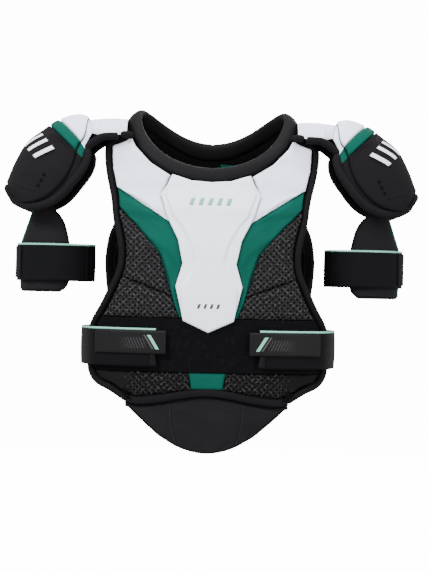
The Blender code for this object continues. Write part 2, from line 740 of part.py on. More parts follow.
def add_waist_strap():
    """The strap's free front run on its hinge at the side, and its sewn rear run."""
    line = strap_line()
    low, high = WAIST_Z - STRAP_WIDTH / 2, WAIST_Z + STRAP_WIDTH / 2
    run = strap_surface(line, 0, HINGE_SHARE - HINGE_SPLIT, low, high)
    rear = strap_surface(line, HINGE_SHARE + HINGE_SPLIT, 1, low, high)
    free = add_sheet("waist_strap_right", run, 1, 16, STRAP_THICKNESS, "elastic_black")
    sewn = add_sheet("waist_anchor_right", rear, 1, 10, STRAP_THICKNESS, "elastic_black")
    tab_base = STRAP_THICKNESS + LAYER_GAP
    tab_high = high - TAB_DOWN
    tab_surface = strap_surface(tab_line(), 0, TAB_LENGTH / PATTERN_TAB, tab_high - TAB_HEIGHT, tab_high)
    tab = add_sheet("waist_tab_right", tab_surface, 1, 6, TAB_THICKNESS, "tab_rubber", tab_base)
    spot = line(HINGE_SHARE)
    outward = spot.normalized() * (STRAP_THICKNESS + HINGE_OUT)
    hinge = Vector((spot.x + outward.x, spot.y + outward.y, WAIST_Z))
    return free, sewn, tab, hinge


# ---------------------------------------------------------------- shoulder caps

# The cap's crest seen from the front, from the arch outward and down, measured from its pivot
CREST = [(-8, -2), (-30, 3), (-58, -6), (-72, -17), (-96, -36), (-111, -62), (-120, -84), (-126, -97)]
# The cap's front rim, beside it: across, forward and up
RIM = [
    (-4, 42, -20), (-13, 53, -38), (-18, 59, -56), (-23, 62, -74),
    (-36, 63, -98), (-59, 61, -118), (-90, 50, -125), (-116, 24, -115),
]
CAP_MIDDLE = Vector((-0.060, 0, -0.085))  # a point well inside the cap's hollow


def cap_pivot():
    return Vector((-CAP_PIVOT_X, SHOULDER_LINE_Y, CAP_PIVOT_Z))


def cap_skin(s, t):
    """A point of the cap's outside: s runs from the arch to the outer rim, t from the front rim to the rear."""
    crest = edge([Vector(p) * MM for p in CREST], True)(s)
    rim = edge([Vector(p) * MM for p in RIM], True)(s)
    angle = (2 * t - 1) * math.pi / 2
    share = math.cos(angle)
    across = rim.x + (crest.x - rim.x) * share
    rise = rim.z + (crest.y - rim.z) * share
    return Vector((across, rim.y * math.sin(angle), rise)) * CAP_SIZE


def cap_surface(s0, s1, t0, t1):
    def at(u, v, height):
        s, t = s0 + (s1 - s0) * u, t0 + (t1 - t0) * v
        step = 0.01
        s_low, s_high = max(s - step, 0), min(s + step, 1)
        t_low, t_high = max(t - step, 0), min(t + step, 1)
        along = cap_skin(s_high, t) - cap_skin(s_low, t)
        out = along.cross(cap_skin(s, t_high) - cap_skin(s, t_low)).normalized()
        point = cap_skin(s, t)
        if out.dot(point - CAP_MIDDLE * CAP_SIZE) < 0:
            out = -out
        return cap_pivot() + point + height * out

    return at


def add_cap():
    cover = -CAP_COVER
    shell = cover - CAP_GAP - CAP_SHELL
    liner = shell - CAP_GAP - CAP_LINER
    stripe_start, stripe_end = 0.25, 0.36  # shares of the way down the crest
    edge_t = 0.065  # how much of the rim the covers leave bare
    seam = SEAM / 2 / PATTERN_CREST
    crown = cap_surface(0.01, stripe_start - seam, edge_t, 1 - edge_t)
    stripe = cap_surface(stripe_start + seam, stripe_end - seam, edge_t, 1 - edge_t)
    main = cap_surface(stripe_end + seam, 0.965, edge_t, 1 - edge_t)
    hard = cap_surface(0.03, 0.95, edge_t + 0.01, 0.99 - edge_t)
    foam = cap_surface(0, 1, 0, 1)
    return [
        add_sheet("cap_crown_right", crown, 12, 4, CAP_COVER, "fabric_white", cover),
        add_sheet("cap_stripe_right", stripe, 12, 2, CAP_COVER, "fabric_green", cover),
        add_sheet("cap_cover_right", main, 12, 6, CAP_COVER, "fabric_black", cover),
        add_sheet("cap_shell_right", hard, 12, 12, CAP_SHELL, "plastic_black", shell),
        add_sheet("cap_liner_right", foam, 14, 14, CAP_LINER, "foam_black", liner),
    ]


# ---------------------------------------------------------------- arm guards and their straps

def arm_middle():
    return Vector((-CAP_PIVOT_X - ARM_OUT, 0, 0))


def round_arm(degrees, inward, z):
    """A point round the arm: 0 is the outer side, -90 the front and 90 the rear."""
    angle = math.radians(degrees)
    middle = arm_middle()
    wide, deep = ARM_HALF_WIDTH - inward, ARM_HALF_DEPTH - inward
    return Vector((middle.x - wide * math.cos(angle), middle.y + deep * math.sin(angle), z))


def guard_lean(z):
    """How far the guard's neck leans in from the strap's loop at a height."""
    return GUARD_SKIN + max(z - NECK_START, 0) * NECK_LEAN


def guard_pivot():
    return round_arm(0, guard_lean(NECK_TOP) + GUARD_THICKNESS / 2, NECK_TOP - 0.006)


def add_guard():
    """The padded guard: it hangs inside the cap by its neck, and wraps the arm's outer side."""
    low, high = -GUARD_DROP, NECK_TOP
    sides = []
    for turns in ((-104, -117, -117, -103, -46, -24), (84, 95, 95, 78, 44, 24)):
        heights = (low, low + 0.014, low + 0.062, high - 0.035, high - 0.014, high)
        sides.append(edge(list(zip(turns, heights)), True))
    front, rear = sides
    outline = patch(edge([front(0), rear(0)]), edge([front(1), rear(1)]), front, rear)

    def at(u, v, height):
        p = outline(u, v)
        return round_arm(p.x, guard_lean(p.y) - height, p.y)

    return add_sheet("guard_pad_right", at, 10, 10, GUARD_THICKNESS, "fabric_black", -GUARD_THICKNESS)


def add_arm_strap():
    """The strap's loop, sewn to the guard's rear, and its free front run on its hinge."""
    low = -GUARD_DROP + ARM_STRAP_RISE
    high = low + ARM_STRAP_WIDTH
    hinge_at = -146  # in degrees round the arm, as is the gap
    gap = 1.5

    def run(start, end):
        def at(u, v, height):
            return round_arm(start + (end - start) * u, -height, low + (high - low) * v)

        return at

    loop = add_sheet("arm_loop_right", run(40, 360 + hinge_at - gap), 1, 14, STRAP_THICKNESS, "elastic_black")
    free = add_sheet("arm_strap_right", run(hinge_at + gap, -4), 1, 12, STRAP_THICKNESS, "elastic_black")
    hinge = round_arm(hinge_at, -STRAP_THICKNESS - HINGE_OUT, (low + high) / 2)
    return loop, free, hinge


# ---------------------------------------------------------------- the whole

def main():
    for old in list(bpy.data.objects):
        bpy.data.objects.remove(old)
    new_collection("hockey_shoulder_pads")
    for name in FINISHES:
        make_finish(name)
    joints = {}
    add_chest()
    add_chest_panels()
    add_sternum()
    joints["belly_fold"] = add_belly()
    _, collar_rear = add_collar()
    back = add_back() + add_arches() + [collar_rear]
    free, sewn, tab, strap_hinge = add_waist_strap()
    back += [sewn, mirror_to_left(sewn)]
    back_pivot = Vector((0, SHOULDER_LINE_Y, BACK_PIVOT_Z))
    hang(back, "back_hinge", back_pivot)
    cap = add_cap()
    guard = add_guard()
    loop, arm_free, arm_hinge = add_arm_strap()
    sets = {
        "waist_strap": ([free, tab], strap_hinge),
        "cap": (cap, cap_pivot()),
        "guard": ([guard, loop], guard_pivot()),
        "arm_strap": ([arm_free], arm_hinge),
    }
    for name, (pieces, place) in sets.items():
        joints[name] = place
        left = [mirror_to_left(piece) for piece in pieces]
        hang(pieces, name + "_hinge_right", place)
        hang(left, name + "_hinge_left", Vector((-place.x, place.y, place.z)))
    joints["back_swing"] = back_pivot
    for name, place in joints.items():
        print("joint", name, [round(c, 5) for c in place])


main()
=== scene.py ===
"""The looks of the hockey shoulder pads: sewn and padded panels, straps and moulded plates.

The wearer faces -Y and the wearer's right side is at -X. Lengths are in metres. The panels' pattern is
drawn flat, as (x, z) seen from the front, and is laid on the torso's form at a height above it.
"""

import json
import math

import bmesh
import bpy
from mathutils import Euler, Matrix, Vector, noise


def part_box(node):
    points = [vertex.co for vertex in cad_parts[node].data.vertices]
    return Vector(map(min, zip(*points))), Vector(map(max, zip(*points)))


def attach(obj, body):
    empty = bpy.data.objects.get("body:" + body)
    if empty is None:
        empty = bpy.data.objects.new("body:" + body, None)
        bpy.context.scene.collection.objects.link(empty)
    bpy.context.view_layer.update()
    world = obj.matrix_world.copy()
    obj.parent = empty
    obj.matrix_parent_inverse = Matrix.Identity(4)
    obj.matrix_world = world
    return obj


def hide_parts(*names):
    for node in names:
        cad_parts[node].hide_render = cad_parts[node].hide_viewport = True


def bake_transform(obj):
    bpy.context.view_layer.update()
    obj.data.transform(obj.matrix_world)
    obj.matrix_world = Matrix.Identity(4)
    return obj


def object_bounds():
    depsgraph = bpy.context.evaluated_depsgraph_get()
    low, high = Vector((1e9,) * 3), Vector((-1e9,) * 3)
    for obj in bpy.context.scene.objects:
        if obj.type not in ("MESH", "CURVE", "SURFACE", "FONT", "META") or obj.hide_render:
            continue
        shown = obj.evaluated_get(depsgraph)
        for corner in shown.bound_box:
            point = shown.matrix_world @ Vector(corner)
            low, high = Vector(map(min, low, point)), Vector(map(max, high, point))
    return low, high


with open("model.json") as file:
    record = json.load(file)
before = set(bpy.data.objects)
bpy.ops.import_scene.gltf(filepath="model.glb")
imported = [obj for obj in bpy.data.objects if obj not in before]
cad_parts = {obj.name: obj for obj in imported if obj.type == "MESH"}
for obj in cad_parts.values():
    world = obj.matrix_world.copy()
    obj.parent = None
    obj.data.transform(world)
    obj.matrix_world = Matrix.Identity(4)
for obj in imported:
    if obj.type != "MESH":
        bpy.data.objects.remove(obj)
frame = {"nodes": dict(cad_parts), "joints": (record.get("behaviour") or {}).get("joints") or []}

CAD_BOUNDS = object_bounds()
JOINTS = {joint["name"]: Vector(joint["pos_m"]) for joint in frame["joints"]}

MM = 0.001

# Torso, overall
CHEST_WIDTH = 0.316  # across the chest panel at the waist straps
CHEST_DROP = 0.3385  # from the shoulder rest down to the middle of the hem
CHEST_DEPTH = 0.107  # from the wearer's middle plane forward to the chest panel
BACK_DEPTH = 0.092  # from the wearer's middle plane back to the back panel
BACK_SHORT = 0.0125  # the back panel ends this far above the middle of the hem
BACK_DROP = CHEST_DROP - BACK_SHORT
BELLY_DROP = 0.074  # the belly pad's length below the hem

# Torso, layers outward from the liner's outer face
LINER = 0.009  # foam liner of the chest and back
LAYER_GAP = 0.0018  # stitched layers are drawn this far apart
SKIN = 0.003  # quilted panels
BINDING_RADIUS = 0.0045  # rolled edge binding
LOOP_BAND = 0.070  # height of the loop band on the chest
LOOP_BAND_RISE = 0.0035  # its middle lies this far above the straps' middle

# Size of the pattern that the outlines below are drawn in, before it is graded
PATTERN_WIDTH = 0.316
PATTERN_DROP = 0.3385
PATTERN_BACK_DROP = 0.326
PATTERN_SHOULDER = 0.1505

# Neck and shoulders
NECK_HALF_WIDTH = 0.105  # middle of the collar's band, at the sides
NECK_FRONT = 0.066  # from the shoulder line forward, and back, to the band's middle
SHOULDER_LINE_Y = -0.008
COLLAR_WIDTH = 0.020
COLLAR_THICKNESS = 0.010
ARCH_WIDTH = 0.031
ARCH_REACH = 0.050  # from the middle of the arch forward, and back, to its ends
ARCH_TOP = 0.026
ARCH_END = 0.003  # height of the arch's ends
JOINT_GAP = 0.003  # between pieces that move past each other

# Waist straps
STRAP_WIDTH = 0.050
STRAP_THICKNESS = 0.0018
WAIST_RISE = 0.062  # from the middle of the hem up to the middle of the waist straps
WAIST_Z = WAIST_RISE - CHEST_DROP
TAB_HEIGHT = 0.029
TAB_DOWN = 0.0035  # the tab's top lies this far below the strap's
HINGE_SHARE = 0.6  # the strap's hinge, as a share of its way from the front to the back

# Shoulder caps, arm guards and arm straps
CAP_SIZE = 1.0  # grades the cap's pattern, which is drawn for a cap 129 mm long
ARM_OUT = 0.0565  # from the cap's joint out to the middle of the arm
ARM_HALF_WIDTH = 0.050  # half of the arm strap's loop across
ARM_HALF_DEPTH = 0.046  # and front to back
GUARD_THICKNESS = 0.009
GUARD_DROP = 0.206  # from the shoulder rest down to the guard's lower edge
NECK_TOP = -0.072  # height of the guard's upper end, inside the cap
GUARD_SKIN = 0.0035  # the guard's outside lies this far inside the strap's loop
NECK_START = -0.142  # the guard's neck leans in under the cap from here up
NECK_LEAN = 0.33  # how far in for each metre up
ARM_STRAP_WIDTH = 0.050
ARM_STRAP_RISE = 0.013  # the guard reaches this far below its strap


# ---------------------------------------------------------------- lines and surfaces

def edge(points, smooth=False):
    """A line through the points, as a function of its share t. Each span takes an equal share."""
    points = [Vector(p) for p in points]
    spans = len(points) - 1

    def at(t):
        i = min(int(t * spans), spans - 1)
        f = t * spans - i
        a, b = points[i], points[i + 1]
        if not smooth:
            return a.lerp(b, f)
        before = points[i - 1] if i else 2 * a - b
        after = points[i + 2] if i + 2 <= spans else 2 * b - a
        return 0.5 * (
            2 * a
            + (b - before) * f
            + (2 * before - 5 * a + 4 * b - after) * f**2
            + (3 * a - before - 3 * b + after) * f**3
        )

    return at


def sideways(points, distance):
    """The line moved by distance to the left of the way that it runs, in its own plane."""
    points = [Vector(p) for p in points]
    moved = []
    for i, p in enumerate(points):
        run = (points[min(i + 1, len(points) - 1)] - points[max(i - 1, 0)]).normalized()
        moved.append(p + distance * Vector((-run.y, run.x)))
    return moved


def mirrored(points):
    """The half line that starts at the side, joined to its mirror image at the other side."""
    return list(points) + other_side(reversed(points[:-1]))


def other_side(points):
    """The line's mirror image at the wearer's left."""
    return [Vector((-p[0], p[1])) for p in points]


def between(points, high, low):
    """The part of a falling line between two heights, its ends cut at those heights."""
    points = [Vector(p) for p in points]
    kept = []
    for a, b in zip(points, points[1:]):
        for height in (high, low):
            if a.y >= height > b.y:
                kept.append(a.lerp(b, (a.y - height) / (a.y - b.y)))
        if high > b.y > low:
            kept.append(b)
    return kept


def patch(bottom, top, left, right):
    """The flat surface between four edges that meet at its corners, as a function of two shares."""

    def at(u, v):
        flat = (1 - v) * bottom(u) + v * top(u) + (1 - u) * left(v) + u * right(v)
        low = (1 - u) * bottom(0) + u * bottom(1)
        high = (1 - u) * top(0) + u * top(1)
        return flat - (1 - v) * low - v * high

    return at


def rising(points, smooth=False):
    """A falling line, read from its lower end up."""
    return edge(list(reversed(points)), smooth)


def strip_between(left, right):
    """The patch between two falling lines."""
    return patch(edge([left[-1], right[-1]]), edge([left[0], right[0]]), rising(left), rising(right))


def blend_rows(rows, value):
    """Reads a table of (key, values...) at a key, smoothly between its rows."""
    if value >= rows[0][0]:
        return rows[0][1:]
    for (k0, *a), (k1, *b) in zip(rows, rows[1:]):
        if value >= k1:
            f = (k0 - value) / (k0 - k1)
            smooth = f * f * (3 - 2 * f)
            return [x + (y - x) * (f + smooth) / 2 for x, y in zip(a, b)]
    return rows[-1][1:]


# ---------------------------------------------------------------- the torso's form

# Height, then the superellipse's half width, its reach forward and its reach back, as shares of the body's
TORSO_ROWS = [
    (0.000, 0.522, 0.500, 0.640),
    (-0.030, 0.522, 0.635, 0.780),
    (-0.065, 0.522, 0.765, 0.860),
    (-0.100, 0.522, 0.880, 0.950),
    (-0.150, 0.522, 0.965, 1.000),
    (-0.210, 0.545, 1.000, 0.985),
    (-0.270, 0.565, 0.992, 0.960),
    (-0.340, 0.555, 0.950, 0.940),
    (-0.415, 0.540, 0.850, 0.900),
]
ROUNDNESS = 2.3
DROP_GRADE = CHEST_DROP / PATTERN_DROP


def torso_y(x, z, front):
    """How far forward (-Y) or back (+Y) the torso's form is at x and z."""
    width, forward, back = blend_rows(TORSO_ROWS, z / DROP_GRADE)
    share = min(abs(x) / (width * CHEST_WIDTH), 0.995)
    reach = (1 - share**ROUNDNESS) ** (1 / ROUNDNESS)
    return -forward * CHEST_DEPTH * reach if front else back * BACK_DEPTH * reach


def on_torso(x, z, height, front=True):
    """The point this high off the torso's form."""
    step = 0.002
    slope_x = (torso_y(x + step, z, front) - torso_y(x - step, z, front)) / (2 * step)
    slope_z = (torso_y(x, z + step, front) - torso_y(x, z - step, front)) / (2 * step)
    out = Vector((-slope_x, 1, -slope_z)).normalized()
    if front:
        out = -out
    return Vector((x, torso_y(x, z, front), z)) + height * out


def torso_sheet(flat, front=True):
    """A flat patch laid on the torso's form."""

    def at(u, v, height):
        p = flat(u, v)
        return on_torso(p.x, p.y, height, front)

    return at


# ---------------------------------------------------------------- the collar's line

TILT_FRONT = math.radians(18)  # how far the band leans, at the front and back
TILT_MORE = math.radians(30)  # and how much more at the sides
COLLAR_REACH = COLLAR_WIDTH / 2 * math.sin(TILT_FRONT + TILT_MORE) + COLLAR_THICKNESS / 2


def collar_middle(angle):
    """The middle of the collar's band. The angle is 0 in front and a quarter turn at the wearer's left."""
    rise = (
        -2.1
        - 25.25 * math.cos(angle)
        - 28.1 * math.cos(2 * angle)
        + 5.0 * math.cos(3 * angle)
    ) * MM
    across = NECK_HALF_WIDTH * math.sin(angle)
    return Vector((across, SHOULDER_LINE_Y - NECK_FRONT * math.cos(angle), rise))


def collar_frame(angle):
    """The band's way up and its way out at an angle."""
    out = Vector((math.sin(angle) / NECK_HALF_WIDTH, -math.cos(angle) / NECK_FRONT, 0)).normalized()
    tilt = TILT_FRONT + TILT_MORE * math.sin(angle) ** 2
    up = Vector((0, 0, math.cos(tilt))) - math.sin(tilt) * out
    return up, math.cos(tilt) * out + Vector((0, 0, math.sin(tilt)))


def neck_edge(angle):
    """Where a panel's neckline runs, just under the collar, in the flat pattern (x, z)."""
    up, _ = collar_frame(angle)
    low = collar_middle(angle) - (COLLAR_WIDTH / 2) * up
    drop = COLLAR_THICKNESS / 2 * abs(math.sin(angle)) + 2 * LAYER_GAP + JOINT_GAP / 2
    return Vector((low.x, low.z - drop))


def neckline(low_degrees, high_degrees, points):
    angles = [low_degrees + (high_degrees - low_degrees) * i / (points - 1) for i in range(points)]
    return [neck_edge(math.radians(a)) for a in angles]


# ---------------------------------------------------------------- where things sit

ARCH_INNER = NECK_HALF_WIDTH + COLLAR_REACH + LAYER_GAP
CAP_PIVOT_X = ARCH_INNER + ARCH_WIDTH + JOINT_GAP / 2
CAP_PIVOT_Z = ARCH_TOP + 0.002
SHOULDER_GRADE = CAP_PIVOT_X / PATTERN_SHOULDER
CHEST_GRADE = CHEST_WIDTH / PATTERN_WIDTH
BACK_GRADE = BACK_DROP / PATTERN_BACK_DROP
SHOULDER_CORNER = Vector((-NECK_HALF_WIDTH - 0.002, -0.0045))  # the panels' corner under the collar's side


def graded(points, drop_grade=DROP_GRADE):
    """Pattern points in millimetres, graded to the shoulders at the top and to the chest lower down."""
    out = []
    for x, z in points:
        share = min(max((-z - 20) / 160, 0), 1)
        across = SHOULDER_GRADE + (CHEST_GRADE - SHOULDER_GRADE) * share
        out.append(Vector((x * across * MM, z * drop_grade * MM)))
    return out


# The chest panel's outline at the wearer's right, from the shoulder down to the hem
CHEST_SIDE = graded([
    (-142, -13), (-139, -44), (-131, -81), (-127, -111), (-121, -138), (-119, -158), (-122, -178),
    (-132, -201), (-141, -220), (-154, -244), (-158, -262), (-158, -300), (-155, -314), (-146, -326),
    (-128, -335), (-108, -347),
])
HEM = graded([(-108, -347), (-90, -350.5), (-60, -347), (-27, -341), (0, -338.5)])
BACK_SIDE = graded(
    [
        (-142, -13), (-140, -45), (-134, -80), (-132, -106), (-140, -130), (-144, -160), (-143, -188),
        (-141, -210), (-145, -245), (-147, -285), (-138, -308), (-112, -320),
    ],
    BACK_GRADE,
)
BACK_HEM = graded([(-112, -320), (-60, -325), (0, -326)], BACK_GRADE)
PANEL_INSET = 2 * BINDING_RADIUS + LAYER_GAP
CHEST_EDGE = sideways(CHEST_SIDE, PANEL_INSET)
BACK_EDGE = sideways(BACK_SIDE, PANEL_INSET)

# Seams of the chest, at the wearer's right
YOKE_LOW, PLATE_SHOULDER = graded([(-122, -67.5), (-53, -113)])
ACCENT_INNER = graded([
    (-122, -68), (-88, -90), (-53, -113), (-41, -137), (-34.7, -167), (-43.3, -196.5), (-33, 0),
])
ACCENT_OUTER = graded([
    (-119, -93), (-92, -123), (-68, -151), (-61, -166), (-54, -188), (-46, -214), (-37, 0),
])
PLATE_SIDE = graded([
    (-49, -66), (-65, -78), (-57, -104), (-53, -113), (-41, -137), (-34.7, -167), (-43.3, -196.5),
    (-32.5, -241),
])
PLATE_TIP = graded([(0, -256)])[0]
RIB_SEAM = graded([(-112, -184), (-52, -210)])
BAND_TOP = WAIST_Z + LOOP_BAND / 2 + LOOP_BAND_RISE
BAND_LOW = BAND_TOP - LOOP_BAND
ACCENT_INNER[-1].y = BAND_TOP
ACCENT_OUTER[-1].y = BAND_TOP
SKIN_BASE = LAYER_GAP
PLATE_BASE = SKIN_BASE + SKIN + LAYER_GAP
STRAP_BASE = PLATE_BASE + LAYER_GAP


# ---------------------------------------------------------------- routes of the moving pieces

def arch_surface(x0, x1, from_angle, to_angle):
    """The saddle over the shoulder. The angle is 0 at its top and a quarter turn at its front end."""

    def at(u, v, height):
        angle = from_angle + (to_angle - from_angle) * v
        reach = ARCH_REACH + height
        rise = ARCH_TOP - ARCH_END + height
        y = SHOULDER_LINE_Y - reach * math.sin(angle)
        return Vector((x0 + (x1 - x0) * u, y, ARCH_END + rise * math.cos(angle)))

    return at


def strap_line():
    """The waist strap's way round the wearer's right side, from its front end to its sewn end on the back."""
    front = [on_torso(-x, WAIST_Z, STRAP_BASE) for x in graded_x(66, 90, 112, 132, 148)]
    back = [on_torso(-x, WAIST_Z, STRAP_BASE, False) for x in graded_x(136, 118, 96)]
    side = [Vector((-x, y, 0)) for x, y in zip(graded_x(165.5, 168.5, 163), (-0.036, 0.0, 0.034))]
    return edge([Vector((p.x, p.y)) for p in front + side + back], True)


def tab_line():
    """The way of the strap's tab, from its free end at the front."""
    spots = [on_torso(-x, WAIST_Z, STRAP_BASE) for x in graded_x(53, 75, 97, 119, 140)]
    return edge([Vector((p.x, p.y)) for p in spots], True)


def graded_x(*values):
    return [v * CHEST_GRADE * MM for v in values]


def strap_surface(line, start, end, low, high):
    def at(u, v, height):
        t = start + (end - start) * u
        step = 0.002
        run = line(min(t + step, 1)) - line(max(t - step, 0))
        out = Vector((-run.y, run.x)).normalized()
        out = out if out.dot(line(t)) > 0 else -out
        flat = line(t) + height * out
        return Vector((flat.x, flat.y, low + (high - low) * v))

    return at


# The cap's crest seen from the front, from the arch outward and down, measured from its pivot
CREST = [(-8, -2), (-30, 3), (-58, -6), (-72, -17), (-96, -36), (-111, -62), (-120, -84), (-126, -97)]
# The cap's front rim, beside it: across, forward and up
RIM = [
    (-4, 42, -20), (-13, 53, -38), (-18, 59, -56), (-23, 62, -74),
    (-36, 63, -98), (-59, 61, -118), (-90, 50, -125), (-116, 24, -115),
]
CAP_MIDDLE = Vector((-0.060, 0, -0.085))  # a point well inside the cap's hollow


def cap_pivot():
    return Vector((-CAP_PIVOT_X, SHOULDER_LINE_Y, CAP_PIVOT_Z))


def cap_skin(s, t):
    """A point of the cap's outside: s runs from the arch outward, t from the front rim to the rear."""
    crest = edge([Vector(p) * MM for p in CREST], True)(s)
    rim = edge([Vector(p) * MM for p in RIM], True)(s)
    angle = (2 * t - 1) * math.pi / 2
    share = math.cos(angle)
    across = rim.x + (crest.x - rim.x) * share
    rise = rim.z + (crest.y - rim.z) * share
    return Vector((across, rim.y * math.sin(angle), rise)) * CAP_SIZE


def cap_surface(s0, s1, t0, t1):
    def at(u, v, height):
        s, t = s0 + (s1 - s0) * u, t0 + (t1 - t0) * v
        step = 0.01
        s_low, s_high = max(s - step, 0), min(s + step, 1)
        t_low, t_high = max(t - step, 0), min(t + step, 1)
        along = cap_skin(s_high, t) - cap_skin(s_low, t)
        out = along.cross(cap_skin(s, t_high) - cap_skin(s, t_low)).normalized()
        point = cap_skin(s, t)
        if out.dot(point - CAP_MIDDLE * CAP_SIZE) < 0:
            out = -out
        return cap_pivot() + point + height * out

    return at


def arm_middle():
    return Vector((-CAP_PIVOT_X - ARM_OUT, 0, 0))


def round_arm(degrees, inward, z):
    """A point round the arm: 0 is the outer side, -90 the front and 90 the rear."""
    angle = math.radians(degrees)
    middle = arm_middle()
    wide, deep = ARM_HALF_WIDTH - inward, ARM_HALF_DEPTH - inward
    return Vector((middle.x - wide * math.cos(angle), middle.y + deep * math.sin(angle), z))


def guard_lean(z):
    """How far the guard's neck leans in from the strap's loop at a height."""
    return GUARD_SKIN + max(z - NECK_START, 0) * NECK_LEAN


# ---------------------------------------------------------------- finishes

def node_tree_of(name):
    finish = bpy.data.materials.new(name)
    finish.use_nodes = True
    return finish, finish.node_tree, finish.node_tree.nodes["Principled BSDF"]


def feed(tree, socket, value):
    """Links a socket to the value when that is a socket too, and otherwise sets it."""
    if isinstance(value, bpy.types.NodeSocket):
        tree.links.new(value, socket)
    else:
        socket.default_value = value


def calc(tree, operation, *values):
    node = tree.nodes.new("ShaderNodeMath")
    node.operation = operation
    for socket, value in zip(node.inputs, values):
        feed(tree, socket, value)
    return node.outputs[0]


def times(tree, a, b):
    return calc(tree, "MULTIPLY", a, b)


def plus(tree, a, b):
    return calc(tree, "ADD", a, b)


def rgba(colour, dim=1.0):
    return (*[c * dim for c in colour], 1)


def ramp(tree, value, low, high, out_low=0.0, out_high=1.0):
    """The value's share of the way from low to high, smoothed, as a number from out_low to out_high."""
    node = tree.nodes.new("ShaderNodeMapRange")
    node.interpolation_type = "SMOOTHSTEP"
    for socket, number in zip(node.inputs, (value, low, high, out_low, out_high)):
        feed(tree, socket, number)
    return node.outputs[0]


def mix(tree, share, low, high):
    node = tree.nodes.new("ShaderNodeMix")
    node.data_type = "RGBA"
    feed(tree, node.inputs["Factor"], share)
    feed(tree, node.inputs[6], low)
    feed(tree, node.inputs[7], high)
    return node.outputs[2]


def noise_value(tree, vector, scale, detail=3.0):
    node = tree.nodes.new("ShaderNodeTexNoise")
    feed(tree, node.inputs["Scale"], scale)
    node.inputs["Detail"].default_value = detail
    tree.links.new(vector, node.inputs["Vector"])
    return node.outputs["Fac"]


def cloth_place(tree):
    """Where a point lies on its cloth: across, up (both in metres) and the pair as a vector."""
    place = tree.nodes.new("ShaderNodeUVMap")
    place.uv_map = "cloth"
    split = tree.nodes.new("ShaderNodeSeparateXYZ")
    tree.links.new(place.outputs["UV"], split.inputs[0])
    return split.outputs[0], split.outputs[1], place.outputs["UV"]


def new_group(name, numbers, results):
    group = bpy.data.node_groups.new(name, "ShaderNodeTree")
    for label, value in numbers.items():
        socket = group.interface.new_socket(label, in_out="INPUT", socket_type="NodeSocketFloat")
        socket.default_value = value
    for label in results:
        group.interface.new_socket(label, in_out="OUTPUT", socket_type="NodeSocketFloat")
    given = group.nodes.new("NodeGroupInput")
    result = group.nodes.new("NodeGroupOutput")
    return group, given.outputs, result.inputs


def use_group(tree, name, **numbers):
    node = tree.nodes.new("ShaderNodeGroup")
    node.node_tree = bpy.data.node_groups[name]
    for label, value in numbers.items():
        node.inputs[label.replace("_", " ").title()].default_value = value
    return node.outputs


def make_woven_threads():
    """Warp and weft that pass over and under each other."""
    group, given, result = new_group("Woven Threads", {"Pitch": 0.0012}, ["Height", "Shade"])
    across, up, place = cloth_place(group)
    turn_x = calc(group, "DIVIDE", times(group, across, math.pi), given["Pitch"])
    turn_y = calc(group, "DIVIDE", times(group, up, math.pi), given["Pitch"])
    warp = calc(group, "ABSOLUTE", calc(group, "SINE", turn_x))
    weft = calc(group, "ABSOLUTE", calc(group, "SINE", turn_y))
    over = times(group, calc(group, "SINE", turn_x), calc(group, "SINE", turn_y))
    share = ramp(group, over, -0.35, 0.35)
    height = plus(group, times(group, warp, share),
                  times(group, weft, calc(group, "SUBTRACT", 1.0, share)))
    group.links.new(height, result["Height"])
    uneven = noise_value(group, place, 260.0, 4.0)
    shade = plus(group, times(group, height, 0.5), times(group, uneven, 0.5))
    group.links.new(shade, result["Shade"])


def make_spacer_mesh():
    """A lattice of paired threads on a dark ground, with an oval hole in each of its cells."""
    group, given, result = new_group("Spacer Mesh", {"Pitch": 0.0062}, ["Hole", "Thread", "Height"])
    across, up, place = cloth_place(group)
    slant = calc(group, "DIVIDE", plus(group, across, up), given["Pitch"])
    other = calc(group, "DIVIDE", calc(group, "SUBTRACT", across, up), given["Pitch"])
    cells = []
    for way in (slant, other):
        part = calc(group, "FRACT", way)
        cells.append(calc(group, "ABSOLUTE", calc(group, "SUBTRACT", part, 0.5)))
    far = calc(group, "SQRT", plus(group, calc(group, "POWER", cells[0], 2.0),
                                   calc(group, "POWER", cells[1], 2.0)))
    hole = ramp(group, far, 0.22, 0.28, 1.0, 0.0)
    group.links.new(hole, result["Hole"])
    rim = calc(group, "MAXIMUM", cells[0], cells[1])
    line = times(group, ramp(group, rim, 0.37, 0.42), ramp(group, rim, 0.45, 0.49, 1.0, 0.0))
    broken = ramp(group, noise_value(group, place, 300.0, 3.0), 0.44, 0.66)
    group.links.new(times(group, line, broken), result["Thread"])
    height = plus(group, times(group, calc(group, "SUBTRACT", 1.0, hole), 0.7),
                  times(group, line, 0.3))
    group.links.new(height, result["Height"])


def make_elastic_ribs():
    """Ribs of elastic webbing: covered cords along the strap, crossed by fine weft."""
    group, given, result = new_group("Elastic Ribs", {"Pitch": 0.0016}, ["Height", "Shade"])
    across, up, place = cloth_place(group)
    turn = calc(group, "DIVIDE", times(group, across, math.pi), given["Pitch"])
    rib = calc(group, "ABSOLUTE", calc(group, "SINE", turn))
    weft = calc(group, "ABSOLUTE", calc(group, "SINE", times(group, up, math.pi / 0.0009)))
    height = plus(group, times(group, rib, 0.65), times(group, weft, 0.35))
    group.links.new(height, result["Height"])
    uneven = noise_value(group, place, 180.0, 3.0)
    group.links.new(times(group, plus(group, height, uneven), 0.5), result["Shade"])


